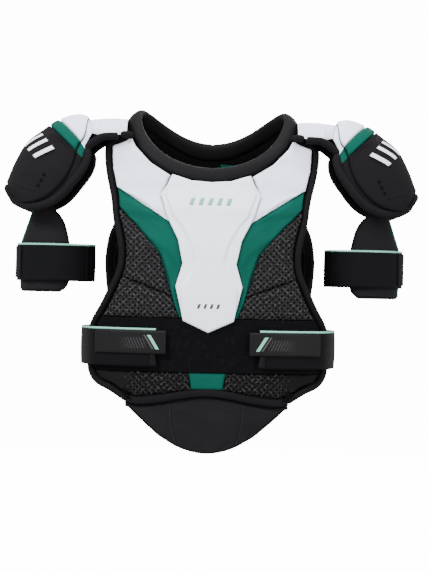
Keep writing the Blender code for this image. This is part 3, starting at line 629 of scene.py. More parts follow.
def make_loop_pile():
    """Unbroken loops: a fuzz of fine tufts, with painted highlights where tufts catch the light here and
    there.
    """
    group, given, result = new_group("Loop Pile", {"Scale": 520.0}, ["Height", "Fleck"])
    _, _, place = cloth_place(group)
    fine = noise_value(group, place, given["Scale"], 5.0)
    coarse = noise_value(group, place, 130.0, 3.0)
    group.links.new(plus(group, times(group, fine, 0.7), times(group, coarse, 0.3)), result["Height"])
    # this mask marks the painted highlights on the tufts
    group.links.new(ramp(group, times(group, fine, coarse), 0.28, 0.42), result["Fleck"])


def make_soft_shading():
    """Large blotches of lighter and darker tone: partly the cloth's own uneven tone, partly painted shade of
    soft folds.
    """
    group, given, result = new_group("Soft Shading", {"Scale": 14.0}, ["Tone"])
    where = group.nodes.new("ShaderNodeTexCoord")
    tone = noise_value(group, where.outputs["Object"], given["Scale"], 4.0)
    group.links.new(ramp(group, tone, 0.25, 0.75), result["Tone"])


def dress(tree, shader, colour, roughness, gloss, height, strength, distance):
    """Sets the surface: its colour, its roughness, its gloss, and how far its height stands up."""
    for label, value in (("Base Color", colour), ("Roughness", roughness), ("Specular IOR Level", gloss)):
        feed(tree, shader.inputs[label], value)
    node = tree.nodes.new("ShaderNodeBump")
    node.inputs["Strength"].default_value = strength
    node.inputs["Distance"].default_value = distance
    tree.links.new(height, node.inputs["Height"])
    tree.links.new(node.outputs[0], shader.inputs["Normal"])


def cloth_finish(name, light, dark, pitch, roughness, depth=0.0002, strength=0.6, gloss=0.06):
    """Close-woven cloth: its tone wanders between two colours, and its threads stand up."""
    finish, tree, shader = node_tree_of(name)
    threads = use_group(tree, "Woven Threads", pitch=pitch)
    tone = use_group(tree, "Soft Shading", scale=14.0)["Tone"]
    # the share mixes painted shade between the threads with the blotchy tone, which is partly uneven tone and
    # partly painted fold shade
    share = plus(tree, times(tree, threads["Shade"], 0.6), times(tree, tone, 0.4))
    rough = ramp(tree, threads["Shade"], 0.2, 0.9, roughness - 0.06, roughness + 0.06)
    colour = mix(tree, share, rgba(dark), rgba(light))
    dress(tree, shader, colour, rough, gloss, threads["Height"], strength, depth)
    return finish


def mesh_finish(name, ground, thread, hole, pitch, fades=None):
    """Spacer mesh. Its lattice sinks into plain cloth between two distances from the middle, the fades."""
    finish, tree, shader = node_tree_of(name)
    lattice = dict(use_group(tree, "Spacer Mesh", pitch=pitch).items())
    if fades:
        across, _, _ = cloth_place(tree)
        shown = ramp(tree, calc(tree, "ABSOLUTE", across), fades[0], fades[1], 1.0, 0.0)
        lattice = {label: times(tree, value, shown) for label, value in lattice.items()}
    tone = use_group(tree, "Soft Shading", scale=20.0)["Tone"]
    # the ground darkens in blotches: partly its uneven tone, partly painted shade of folds
    cloth = mix(tree, tone, rgba(ground, 0.75), rgba(ground))
    lit = mix(tree, lattice["Thread"], cloth, rgba(thread))
    rough = ramp(tree, lattice["Thread"], 0.0, 1.0, 0.75, 0.45)
    # the holes take the hole colour: the black foam seen through them, darkened by painted shade
    colour = mix(tree, lattice["Hole"], lit, rgba(hole))
    dress(tree, shader, colour, rough, 0.08, lattice["Height"], 0.9, 0.0009)
    return finish


def elastic_finish(name, cord, trim, width, trim_width):
    """Elastic webbing, with a coloured edge along its top."""
    finish, tree, shader = node_tree_of(name)
    ribs = use_group(tree, "Elastic Ribs", pitch=0.0016)
    _, up, _ = cloth_place(tree)
    cords = mix(tree, ribs["Shade"], rgba(cord, 0.55), rgba(cord))
    edge_share = ramp(tree, up, width - trim_width - 0.0004, width - trim_width + 0.0004)
    rough = ramp(tree, ribs["Shade"], 0.2, 0.9, 0.62, 0.78)
    dress(tree, shader, mix(tree, edge_share, cords, rgba(trim)), rough, 0.06, ribs["Height"], 0.7, 0.0003)
    return finish


def pile_finish(name, ground, glint):
    finish, tree, shader = node_tree_of(name)
    pile = use_group(tree, "Loop Pile", scale=520.0)
    # the lighter colour is a painted highlight on the tufts
    colour = mix(tree, pile["Fleck"], rgba(ground), rgba(glint))
    dress(tree, shader, colour, 0.95, 0.03, pile["Height"], 0.9, 0.0008)
    return finish


def moulded_finish(name, colour, roughness, grain, depth):
    """Moulded foam or plastic with a fine pebbled face."""
    finish, tree, shader = node_tree_of(name)
    where = tree.nodes.new("ShaderNodeTexCoord").outputs["Object"]
    pebbles = noise_value(tree, where, grain, 3.0)
    tone = use_group(tree, "Soft Shading", scale=10.0)["Tone"]
    rough = ramp(tree, pebbles, 0.3, 0.7, roughness - 0.05, roughness + 0.07)
    # the colour dims a little in blotches: partly uneven tone, partly painted soft shade
    dress(tree, shader, mix(tree, tone, rgba(colour, 0.94), rgba(colour)), rough, 0.3, pebbles, 0.35, depth)
    return finish


def tab_finish(name, ground, hatch):
    """The label tab's rubber, with rows of fine slanted bars fading out from its free end."""
    finish, tree, shader = node_tree_of(name)
    across, up, place = cloth_place(tree)
    slant = calc(tree, "DIVIDE", calc(tree, "SUBTRACT", across, times(tree, up, 0.45)), 0.0042)
    off = calc(tree, "ABSOLUTE", calc(tree, "SUBTRACT", calc(tree, "FRACT", slant), 0.5))
    bars = ramp(tree, off, 0.14, 0.2, 1.0, 0.0)
    inside = times(tree, ramp(tree, up, 0.006, 0.008), ramp(tree, up, 0.021, 0.023, 1.0, 0.0))
    ends = times(tree, ramp(tree, across, 0.024, 0.032), ramp(tree, across, 0.048, 0.068, 1.0, 0.0))
    broken = ramp(tree, noise_value(tree, place, 500.0, 2.0), 0.3, 0.7, 0.4, 1.0)
    share = times(tree, times(tree, bars, inside), times(tree, ends, broken))
    grain = noise_value(tree, place, 900.0, 2.0)
    dress(tree, shader, mix(tree, share, rgba(ground), rgba(hatch)), 0.55, 0.12, grain, 0.3, 0.0002)
    return finish


def make_finishes():
    """Every finish, by name. Each woven one has its lighter and its darker tone."""
    make_woven_threads()
    make_spacer_mesh()
    make_elastic_ribs()
    make_loop_pile()
    make_soft_shading()
    mint = (0.17, 0.42, 0.33)
    # colour of the mesh's holes: the black foam beneath, darkened by painted shade inside the holes
    hole = (0.0005, 0.0005, 0.0005)
    print_face = (0.002, 0.5, 0.00005, 0.2, 0.2)  # a smooth print: pitch, roughness, depth, strength, gloss
    made = [
        cloth_finish("white_knit", (0.80, 0.82, 0.95), (0.72, 0.74, 0.87), 0.0011, 0.7, 0.0001, 0.3, 0.2),
        cloth_finish("green_knit", (0.0011, 0.066, 0.047), (0.0007, 0.048, 0.034), 0.0011, 0.7, 0.0001, 0.4),
        cloth_finish("black_jersey", (0.0078, 0.0070, 0.0083), (0.0045, 0.0040, 0.0048), 0.0012, 0.8),
        cloth_finish("collar_jersey", (0.0050, 0.0051, 0.0058), (0.0028, 0.0029, 0.0033),
                     0.0010, 0.65, 0.0001, 0.4, 0.08),
        cloth_finish("quilt_jersey", (0.0108, 0.0100, 0.0118), (0.0064, 0.0058, 0.0068), 0.0012, 0.8),
        cloth_finish("binding_tape", (0.0066, 0.0059, 0.0072), (0.0036, 0.0032, 0.0040), 0.0014, 0.75),
        cloth_finish("black_lining", (0.0036, 0.0034, 0.0038), (0.0018, 0.0017, 0.0019), 0.0016, 0.9),
        cloth_finish("green_ripstop", (0.0008, 0.066, 0.046), (0.0005, 0.040, 0.029),
                     0.0024, 0.5, 0.0003, 0.8),
        cloth_finish("black_thread", (0.0020, 0.0020, 0.0022), (0.0012, 0.0012, 0.0013), 0.0006, 0.7),
        cloth_finish("grey_thread", (0.050, 0.050, 0.052), (0.030, 0.030, 0.032), 0.0006, 0.7),
        cloth_finish("white_print", (0.80, 0.80, 0.88), (0.74, 0.74, 0.82), *print_face),
        cloth_finish("mint_rubber", mint, tuple(c * 0.9 for c in mint), *print_face),
        cloth_finish("grey_rubber", (0.045, 0.043, 0.045), (0.035, 0.033, 0.035), *print_face),
        mesh_finish("spacer_mesh", (0.0095, 0.0093, 0.0100), (0.078, 0.078, 0.083), hole, 0.0078),
        mesh_finish("hem_spacer_mesh", (0.0040, 0.0039, 0.0043), (0.066, 0.066, 0.070), hole, 0.0078,
                    fades=(0.088, 0.116)),
        elastic_finish("elastic_webbing", (0.0036, 0.0037, 0.0046), mint, STRAP_WIDTH, 0.0023),
        # the second colour is the painted highlight on the pile's tufts
        pile_finish("loop_pile", (0.0032, 0.0032, 0.0038), (0.0062, 0.0062, 0.0072)),
        moulded_finish("white_foam", (0.87, 0.90, 1.0), 0.45, 700.0, 0.0001),
        moulded_finish("black_plastic", (0.0075, 0.0075, 0.0085), 0.45, 900.0, 0.0002),
        tab_finish("tab_rubber_print", (0.0034, 0.0034, 0.0040), (0.040, 0.039, 0.041)),
    ]
    return {finish.name: finish for finish in made}


FINISH = make_finishes()


# ---------------------------------------------------------------- making pieces

def ease_ends(t):
    """Shares set closer together towards both ends, where a panel's edge turns down."""
    return 0.5 - 0.5 * math.cos(math.pi * t)


def round_over(distance, radius):
    share = min(max(distance / radius, 0.0), 1.0)
    return math.sqrt(1 - (1 - share) ** 2)


def length_of(points):
    return sum((b - a).length for a, b in zip(points, points[1:]))


def piece_from(bm, name, finish):
    """A smooth-shaded object of the faces built so far."""
    for face in bm.faces:
        face.smooth = True
    mesh = bpy.data.meshes.new(name)
    bm.to_mesh(mesh)
    bm.free()
    mesh.materials.append(FINISH[finish])
    piece = bpy.data.objects.new(name, mesh)
    bpy.context.scene.collection.objects.link(piece)
    return piece


def mend(piece, work):
    """Runs a step on the piece's own faces."""
    bm = bmesh.new()
    bm.from_mesh(piece.data)
    work(bm)
    bm.to_mesh(piece.data)
    bm.free()


def close_holes(bm):
    bmesh.ops.holes_fill(bm, edges=bm.edges, sides=0)


def turn_outward(bm):
    bmesh.ops.recalc_face_normals(bm, faces=bm.faces)


def grid_piece(name, at, columns, rows, finish, ease=True, close_u=False, grain=None):
    """A grid of faces at at(u, v), with the map "cloth" that holds each point's place in metres.

    grain is the flat pattern that the piece is cut from. Without one, the map follows the grid's own ways.
    """
    shape = ease_ends if ease else (lambda t: t)
    bm = bmesh.new()
    bmesh.ops.create_grid(bm, x_segments=columns, y_segments=rows, size=0.5)
    shares = {v: (v.co.x + 0.5, v.co.y + 0.5) for v in bm.verts}
    middle_row = [at(shape(i / 24), 0.5) for i in range(25)]
    middle_column = [at(0.5, shape(i / 24)) for i in range(25)]
    wide, high = length_of(middle_row), length_of(middle_column)
    layer = bm.loops.layers.uv.new("cloth")
    for face in bm.faces:
        for loop in face.loops:
            u, v = shares[loop.vert]
            loop[layer].uv = grain(shape(u), shape(v)) if grain else (shape(u) * wide, shape(v) * high)
    for vertex, (u, v) in shares.items():
        vertex.co = at(shape(u), shape(v))
    if close_u:
        bmesh.ops.remove_doubles(bm, verts=bm.verts, dist=1e-6)
    bm.normal_update()
    return piece_from(bm, name, finish)


def face_out(piece, outward):
    """Turns the piece's faces over if the middle ones look against the way out."""
    mesh = piece.data
    middle = mesh.polygons[len(mesh.polygons) // 2]
    if middle.normal.dot(outward) < 0:
        mesh.flip_normals()


def ripple(point, size, height):
    """The cloth's slight unevenness: up to this height, over folds about this size."""
    return height * noise.noise(point / size)


def pad_piece(name, surface, columns, rows, finish, base, loft, turn=0.004, ripples=0.0003, shape=None,
              grain=None):
    """A sewn panel: its edges lie at base and turn up over a short way, and its middle stands loft higher."""
    wide = (surface(1, 0.5, base) - surface(0, 0.5, base)).length
    high = (surface(0.5, 1, base) - surface(0.5, 0, base)).length

    def at(u, v):
        near_u, near_v = min(u, 1 - u) * wide, min(v, 1 - v) * high
        up = round_over(near_u, turn) * round_over(near_v, turn)
        height = base + loft * up
        if shape:
            height += shape(u, v) * up
        point = surface(u, v, height)
        return surface(u, v, height + ripple(point, 0.03, ripples) * up)

    piece = grid_piece(name, at, columns, rows, finish, grain=grain)
    face_out(piece, surface(0.5, 0.5, base + 0.01) - surface(0.5, 0.5, base))
    return piece


CLOTHS = []


def hold_as_cloth(piece, pressure, most, pins=None):
    """Has the cloth simulated under a soft pressure, held along its seams. A point may move by most."""
    edges = {}
    for polygon in piece.data.polygons:
        for key in polygon.edge_keys:
            edges[key] = edges.get(key, 0) + 1
    held = {v for key, count in edges.items() if count == 1 for v in key}
    if pins:
        held |= {v.index for v in piece.data.vertices if pins(v.co)}
    sewn = piece.vertex_groups.new(name="sewn")
    sewn.add(sorted(held), 1.0, "REPLACE")
    CLOTHS.append((piece, pressure, most))


def settle_cloths():
    """Runs every held cloth at once, applies what it came to, and caps how far a point has moved."""
    for piece, pressure, _ in CLOTHS:
        cloth = piece.modifiers.new("cloth", "CLOTH")
        settings = cloth.settings
        settings.quality = 4
        settings.mass = 0.25
        settings.tension_stiffness = 12
        settings.compression_stiffness = 12
        settings.shear_stiffness = 6
        settings.bending_stiffness = 0.6
        settings.vertex_group_mass = "sewn"
        settings.use_pressure = True
        settings.uniform_pressure_force = pressure
        settings.shrink_min = -0.01
        settings.effector_weights.gravity = 0
        cloth.point_cache.frame_start = 1
        cloth.point_cache.frame_end = 20
    for number in range(1, 21):
        bpy.context.scene.frame_set(number)
    graph = bpy.context.evaluated_depsgraph_get()
    for piece, _, most in CLOTHS:
        settled = [v.co.copy() for v in piece.evaluated_get(graph).data.vertices]
        piece.modifiers.clear()
        for vertex, place in zip(piece.data.vertices, settled):
            move = place - vertex.co
            if move.length > most:
                move = move.normalized() * most
            vertex.co += move
        piece.data.update()
    bpy.context.scene.frame_set(1)
    for piece, _, _ in CLOTHS:
        piece.vertex_groups.clear()
    CLOTHS.clear()


def thicken(piece, thickness, lining=None):
    """Gives a skin its thickness inward, with a lining of its own if one is named."""
    solid = piece.modifiers.new("thickness", "SOLIDIFY")
    solid.thickness = thickness
    solid.offset = -1
    if lining:
        piece.data.materials.append(FINISH[lining])
        solid.material_offset = 1
        solid.material_offset_rim = 1
    return piece


def sheet_piece(name, at, columns, rows, finish, outward, thickness, lining=None, ease=False, close_u=False):
    """A grid piece that faces outward, with its thickness behind it."""
    piece = grid_piece(name, at, columns, rows, finish, ease=ease, close_u=close_u)
    face_out(piece, outward)
    return thicken(piece, thickness, lining)


def tube_piece(name, points, wide, tall, finish, up_at=None, sides=12, closed=False, power=2.0):
    """A roll swept along points: wide across, tall along the way up_at gives, with round ends."""
    count = len(points)
    bm = bmesh.new()
    bmesh.ops.create_grid(bm, x_segments=count - 1 + (1 if closed else 0), y_segments=sides, size=0.5)
    layer = bm.loops.layers.uv.new("cloth")
    steps = count if closed else count - 1
    run = [0.0]
    for a, b in zip(points, points[1:] + points[:1]):
        run.append(run[-1] + (b - a).length)
    round_way = math.pi * (wide + tall) / 2
    for face in bm.faces:
        for loop in face.loops:
            i = round((loop.vert.co.x + 0.5) * steps)
            loop[layer].uv = (run[i], (loop.vert.co.y + 0.5) * round_way)
    for vertex in bm.verts:
        i = round((vertex.co.x + 0.5) * steps)
        turn = 2 * math.pi * (vertex.co.y + 0.5)
        before = points[(i - 1) % count] if closed or i else points[i]
        after = points[(i + 1) % count] if closed or i + 1 < count else points[i]
        along = (after - before).normalized()
        up = up_at(i % count) if up_at else Vector((0, 0, 1))
        up = (up - up.dot(along) * along).normalized()
        across = along.cross(up)
        c, s = math.cos(turn), math.sin(turn)
        c = math.copysign(abs(c) ** (2 / power), c)
        s = math.copysign(abs(s) ** (2 / power), s)
        shrink = 1.0
        if not closed:
            ends = min(i, count - 1 - i)
            shrink = (0.35, 0.8, 1.0)[min(ends, 2)]
        vertex.co = points[i % count] + shrink * (wide / 2 * c * across + tall / 2 * s * up)
    bmesh.ops.remove_doubles(bm, verts=bm.verts, dist=1e-6)
    if not closed:
        close_holes(bm)
    turn_outward(bm)
    return piece_from(bm, name, finish)


def resample(points, spacing):
    """Points set evenly along a line, about spacing apart."""
    total = length_of(points)
    count = max(int(total / spacing), 3)
    out, i, gone = [points[0].copy()], 0, 0.0
    for k in range(1, count):
        target = total * k / count
        while gone + (points[i + 1] - points[i]).length < target:
            gone += (points[i + 1] - points[i]).length
            i += 1
        share = (target - gone) / (points[i + 1] - points[i]).length
        out.append(points[i].lerp(points[i + 1], share))
    out.append(points[-1].copy())
    return out


def stitch_row(name, points, ways_out, finish, length=0.0026, gap=0.0012, radius=0.00035):
    """A row of sewn stitches along a line: each a short thread that dips at its ends."""
    spots = resample(points, length + gap)
    bm = bmesh.new()
    for i in range(len(spots) - 1):
        start = spots[i].lerp(spots[i + 1], gap / (length + gap) / 2)
        end = spots[i + 1].lerp(spots[i], gap / (length + gap) / 2)
        share = i / max(len(spots) - 2, 1)
        out = ways_out(share)
        along = (end - start).normalized()
        side = along.cross(out).normalized()
        rings = []
        for f, lift, size in ((0, -0.6, 0.5), (0.25, 0.35, 1), (0.75, 0.35, 1), (1, -0.6, 0.5)):
            middle = start.lerp(end, f) + out * radius * lift
            ring = []
            for k in range(6):
                turn = 2 * math.pi * k / 6
                way = math.cos(turn) * side + math.sin(turn) * out
                ring.append(bm.verts.new(middle + radius * size * way))
            rings.append(ring)
        for a, b in zip(rings, rings[1:]):
            for k in range(6):
                bm.faces.new((a[k], a[(k + 1) % 6], b[(k + 1) % 6], b[k]))
        bm.faces.new(rings[0])
        bm.faces.new(rings[-1])
    turn_outward(bm)
    piece = piece_from(bm, name, finish)
    piece.data.uv_layers.new(name="cloth")
    return piece


def mirror_piece(piece):
    """The same piece for the wearer's left side."""
    mesh = piece.data.copy()
    mesh.transform(Matrix.Scale(-1, 4, (1, 0, 0)))
    mesh.flip_normals()
    name = piece.name.replace("_right", "_left")
    copy = bpy.data.objects.new(name, mesh)
    bpy.context.scene.collection.objects.link(copy)
    for old in piece.modifiers:
        new = copy.modifiers.new(old.name, old.type)
        for setting in ("thickness", "offset", "material_offset", "material_offset_rim"):
            if hasattr(old, setting):
                setattr(new, setting, getattr(old, setting))
    return copy


PLANS = []


def plan(piece, body, slot, replaces=(), fill=None, blend=None, pair=False):
    """Notes what a piece stands for. A pair is mirrored for the left side once its cloth has settled."""
    PLANS.append((piece, body, slot, replaces, fill, blend, pair))
    return piece


def flipped(point):
    return Vector((-point.x, point.y, point.z))


def settle_plans():
    """Mirrors each pair, hangs each piece on the body that it rides on, bakes in place each piece that spans
    two bodies, and hides the nodes that it stands for.
    """
    for piece, body, slot, replaced, fill, blend, pair in PLANS:
        both = [(piece, False)]
        if pair:
            both.append((mirror_piece(piece), True))
        for one, is_left in both:
            def side(name):
                return name.replace("_right", "_left") if is_left else name

            if blend:
                start, end = blend
                if is_left:
                    start, end = flipped(start), flipped(end)
                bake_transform(one)
            else:
                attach(one, side(body))
            if replaced:
                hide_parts(*[side(node) for node in replaced])
    PLANS.clear()


# ---------------------------------------------------------------- chest

BED = 0.0003  # the panels' edges lie this far off the foam
PANEL_LOFT = 0.0042  # how far a panel's middle stands above its edges
PANEL_GIVE = 0.0012  # how far its cloth may move
TAPE_SPACING = 0.004  # between the rings of a binding
BINDING_START = [Vector((-NECK_HALF_WIDTH - 0.001, 0.0005)), Vector((-NECK_HALF_WIDTH - 0.014, -0.002))]
NECK_SEAM = Vector((0, 0.0035))  # the sewn panels reach this much further up, to the collar


def torso_points(line, height, front=True):
    return [on_torso(p.x, p.y, height, front) for p in line]


def torso_out(line, front=True):
    def at(share):
        p = line[min(int(share * (len(line) - 1) + 0.5), len(line) - 1)]
        return (on_torso(p.x, p.y, 0.01, front) - on_torso(p.x, p.y, 0, front)).normalized()

    return at


def smooth_line(points, count):
    line = edge(points, True)
    return [line(i / count) for i in range(count + 1)]


def seam_stitches(name, line, height, finish, front=True, spacing=0.003):
    line = even(line, spacing)
    return stitch_row(name, torso_points(line, height, front), torso_out(line, front), finish)


def chest_outline(front=True):
    """The corners that the whole chest or back panel is drawn between."""
    side_edge = CHEST_EDGE if front else BACK_EDGE
    hem = HEM if front else BACK_HEM
    left_side = list(reversed(side_edge))
    neck = [p + NECK_SEAM for p in (neckline(-66, 0, 5) if front else neckline(246, 180, 5))]
    top = mirrored([side_edge[0], SHOULDER_CORNER + NECK_SEAM] + neck)
    low = mirrored([left_side[0]] + [p + Vector((0, BINDING_RADIUS)) for p in hem[1:]])
    return patch(edge(low, True), edge(top), edge(left_side), edge(other_side(left_side)))


def add_foam(name, front, body, node):
    """The foam body that the panels are sewn on, faced inside with a quilted lining."""
    surface = torso_sheet(chest_outline(front), front)
    piece = sheet_piece(name, lambda u, v: surface(u, v, 0), 56, 64, "black_jersey",
                        Vector((0, -1 if front else 1, 0)), LINER, "black_lining", ease=True)
    plan(piece, body, "foam_black", (node,), fill=0.7)


def wrapped_edge(name, line, front=True, power=2.6):
    """Binding tape folded over the foam's edge: wide on the face and round over the edge."""
    heights = 0.5 * (PANEL_LOFT - LINER)
    points = torso_points(line, heights, front)
    out = torso_out(line, front)
    count = len(points) - 1
    return tube_piece(name, points, 2 * BINDING_RADIUS + 0.0008, LINER + PANEL_LOFT + 0.0016, "binding_tape",
                      up_at=lambda i: out(i / count), sides=20, power=power)


def even(line, spacing):
    return [Vector((p.x, p.y)) for p in resample([Vector((q.x, q.y, 0)) for q in line], spacing)]


def add_chest_edges():
    """The binding tape down the chest's sides and along its hem."""
    corner = sideways(CHEST_SIDE, BINDING_RADIUS)
    corner[0] = corner[0] + Vector((0.0010, -0.0012))
    hem_start = HEM[0].lerp(HEM[1], 0.5) + Vector((0, BINDING_RADIUS))
    line = BINDING_START + [Vector((corner[0].x + 0.0065, corner[0].y + 0.0065))] + corner + [hem_start]
    line = even(smooth_line(line, 120), TAPE_SPACING)
    tape = wrapped_edge("chest_binding_right", line)
    plan(tape, "chest", "fabric_black", ("chest_binding_right",), pair=True)
    hem_line = mirrored([p + Vector((0, BINDING_RADIUS)) for p in HEM])
    hem_tape = wrapped_edge("hem_binding", even(smooth_line(hem_line, 100), TAPE_SPACING), power=4.5)
    plan(hem_tape, "chest", "fabric_black", ("hem_binding",))


def plate_inner(v):
    """How far out the plate's raised field reaches, as a share of its half width."""
    spots = [(0.0, 1.06), (0.143, 0.86), (0.34, 0.50), (0.52, 0.70), (0.714, 0.85), (0.86, 0.93), (1.0, 1.06)]
    for (v0, a), (v1, b) in zip(spots, spots[1:]):
        if v <= v1:
            return a + (b - a) * (v - v0) / (v1 - v0)
    return spots[-1][1]


def add_sternum_plate():
    """The moulded plate on the chest, with its raised field and two rows of plain bars."""
    side = list(reversed(PLATE_SIDE))
    low = [side[0], Vector((side[0].x / 2, (side[0].y + PLATE_TIP.y) / 2)), PLATE_TIP]
    top = [p + NECK_SEAM for p in neckline(-28, 0, 3)]
    side[-1] = top[0]
    flat = patch(edge(mirrored(low)), edge(mirrored(top)), edge(side), edge(other_side(side)))
    surface = torso_sheet(flat)
    wide, high = 0.09, 0.19
    wall, flank, field = 0.0075, 0.0006, 0.0028

    def at(u, v):
        near = min(min(u, 1 - u) * wide, min(v, 1 - v) * high)
        height = BED + wall * round_over(near, 0.0022) ** 0.7
        off = abs(2 * u - 1)
        height += flank * min(near / 0.012, 1)
        share = min(max((plate_inner(v) - off) / 0.062, 0), 1)
        height += field * share * share * (3 - 2 * share)
        return surface(u, v, height)

    plate = sheet_piece("sternum_plate_moulding", at, 96, 150, "white_foam", Vector((0, -1, 0)), 0.0015,
                        ease=True)
    plan(plate, "chest", "moulded_white", ("sternum_plate", "sternum_core"))
    for row, count, middle_z, tall, step, wide, finish in (
        ("upper", 5, -0.0895, 0.0085, 0.0118, 0.0050, "mint_rubber"),
        ("lower", 4, -0.2215, 0.0060, 0.0082, 0.0030, "grey_rubber"),
    ):
        for k in range(count):
            start = (k - (count - 1) / 2) * step - wide / 2

            def bar(u, v, start=start, middle_z=middle_z, tall=tall, wide=wide):
                x = start + wide * u + 0.35 * tall * (v - 0.5)
                return on_torso(x, middle_z + tall * (v - 0.5), BED + wall + flank + field + 0.0004)

            mark = sheet_piece("plate_bar_%s_%d" % (row, k + 1), bar, 3, 4, finish, Vector((0, -1, 0)),
                               0.0005)
            plan(mark, "chest", "moulded_white")


def add_chest_panels():
    """What is sewn on the chest's foam: yokes, accents, meshes, the hem's patch and the loop band."""
    top_in = [p + NECK_SEAM for p in neckline(-66, -30, 3)]
    yoke = patch(
        edge([YOKE_LOW, PLATE_SHOULDER]),
        edge([CHEST_EDGE[0], SHOULDER_CORNER + NECK_SEAM] + top_in),
        edge([YOKE_LOW] + list(reversed(between(CHEST_EDGE, CHEST_EDGE[0].y, YOKE_LOW.y)))),
        edge([PLATE_SHOULDER, PLATE_SIDE[2], PLATE_SIDE[1], top_in[-1]]),
    )
    accent = patch(
        edge([ACCENT_OUTER[-1], ACCENT_INNER[-1]]),
        edge([ACCENT_OUTER[0], ACCENT_INNER[0]]),
        rising(ACCENT_OUTER, True),
        rising(ACCENT_INNER),
    )
    seam_left, seam_right = RIB_SEAM
    chest_left = between(CHEST_EDGE, ACCENT_OUTER[0].y - 0.004, seam_left.y)
    chest_right = between(smooth_line(ACCENT_OUTER, 60), ACCENT_OUTER[0].y - 0.004, seam_right.y)
    chest_mesh = strip_between(chest_left, chest_right)
    rib_left = between(CHEST_EDGE, seam_left.y, BAND_TOP)
    rib_right = between(smooth_line(ACCENT_OUTER, 60), seam_right.y, BAND_TOP)
    rib_mesh = strip_between(rib_left, rib_right)
    hem_left = between(CHEST_EDGE, BAND_LOW, CHEST_EDGE[-1].y - 0.001)
    patch_top, patch_low = graded([(-24, -308), (-20.5, -332)])
    low = [p + Vector((0, PANEL_INSET)) for p in HEM[1:4]]
    patch_corner = Vector((patch_low.x, low[2].y))
    hem_mesh = patch(
        edge([CHEST_EDGE[-1]] + low[:2] + [patch_corner], True),
        edge([hem_left[0], (patch_top.x, BAND_LOW)]),
        rising(hem_left),
        edge([patch_corner, (patch_top.x, BAND_LOW)]),
    )
    panels = [
        ("yoke_right", yoke, 44, 40, "white_knit", "fabric_white", PANEL_LOFT, PANEL_GIVE),
        ("accent_right", accent, 26, 48, "green_knit", "fabric_green", PANEL_LOFT * 0.8, PANEL_GIVE),
        ("chest_mesh_right", chest_mesh, 30, 40, "spacer_mesh", "mesh_black", PANEL_LOFT * 0.9, PANEL_GIVE),
        ("rib_mesh_right", rib_mesh, 40, 26, "spacer_mesh", "mesh_black", PANEL_LOFT * 0.9, PANEL_GIVE),
        ("hem_mesh_right", hem_mesh, 44, 22, "hem_spacer_mesh", "mesh_black", PANEL_LOFT * 0.8, PANEL_GIVE),
    ]
    for name, flat, columns, rows, finish, slot, loft, puff in panels:
        piece = pad_piece(name + "_panel", torso_sheet(flat), columns, rows, finish, BED, loft, grain=flat)
        hold_as_cloth(piece, 1.2, puff)
        plan(piece, "chest", slot, (name,), fill=0.6, pair=True)
    for name, line in (
        ("accent_seam_stitches_right", smooth_line(ACCENT_OUTER, 60)),
        ("rib_seam_stitches_right", [seam_left, seam_right]),
    ):
        line = [p + Vector((0.0022, 0.0)) for p in line]
        plan(seam_stitches(name, line, PANEL_LOFT * 0.75, "black_thread"), "chest", "fabric_black", pair=True)
    patch_side = [Vector((patch_top.x, BAND_LOW)), patch_corner]
    hem_patch = strip_between(patch_side, other_side(patch_side))
    piece = pad_piece("hem_patch_panel", torso_sheet(hem_patch), 24, 16, "green_knit", BED, PANEL_LOFT * 0.9)
    plan(piece, "chest", "fabric_green", ("hem_patch",), fill=0.5)
    sides = between(CHEST_EDGE, BAND_TOP, BAND_LOW)
    band = strip_between(sides, other_side(sides))
    piece = pad_piece("loop_band_strip", torso_sheet(band), 90, 28, "loop_pile", BED, PANEL_LOFT, turn=0.002)
    plan(piece, "chest", "loop_black", ("loop_band",))


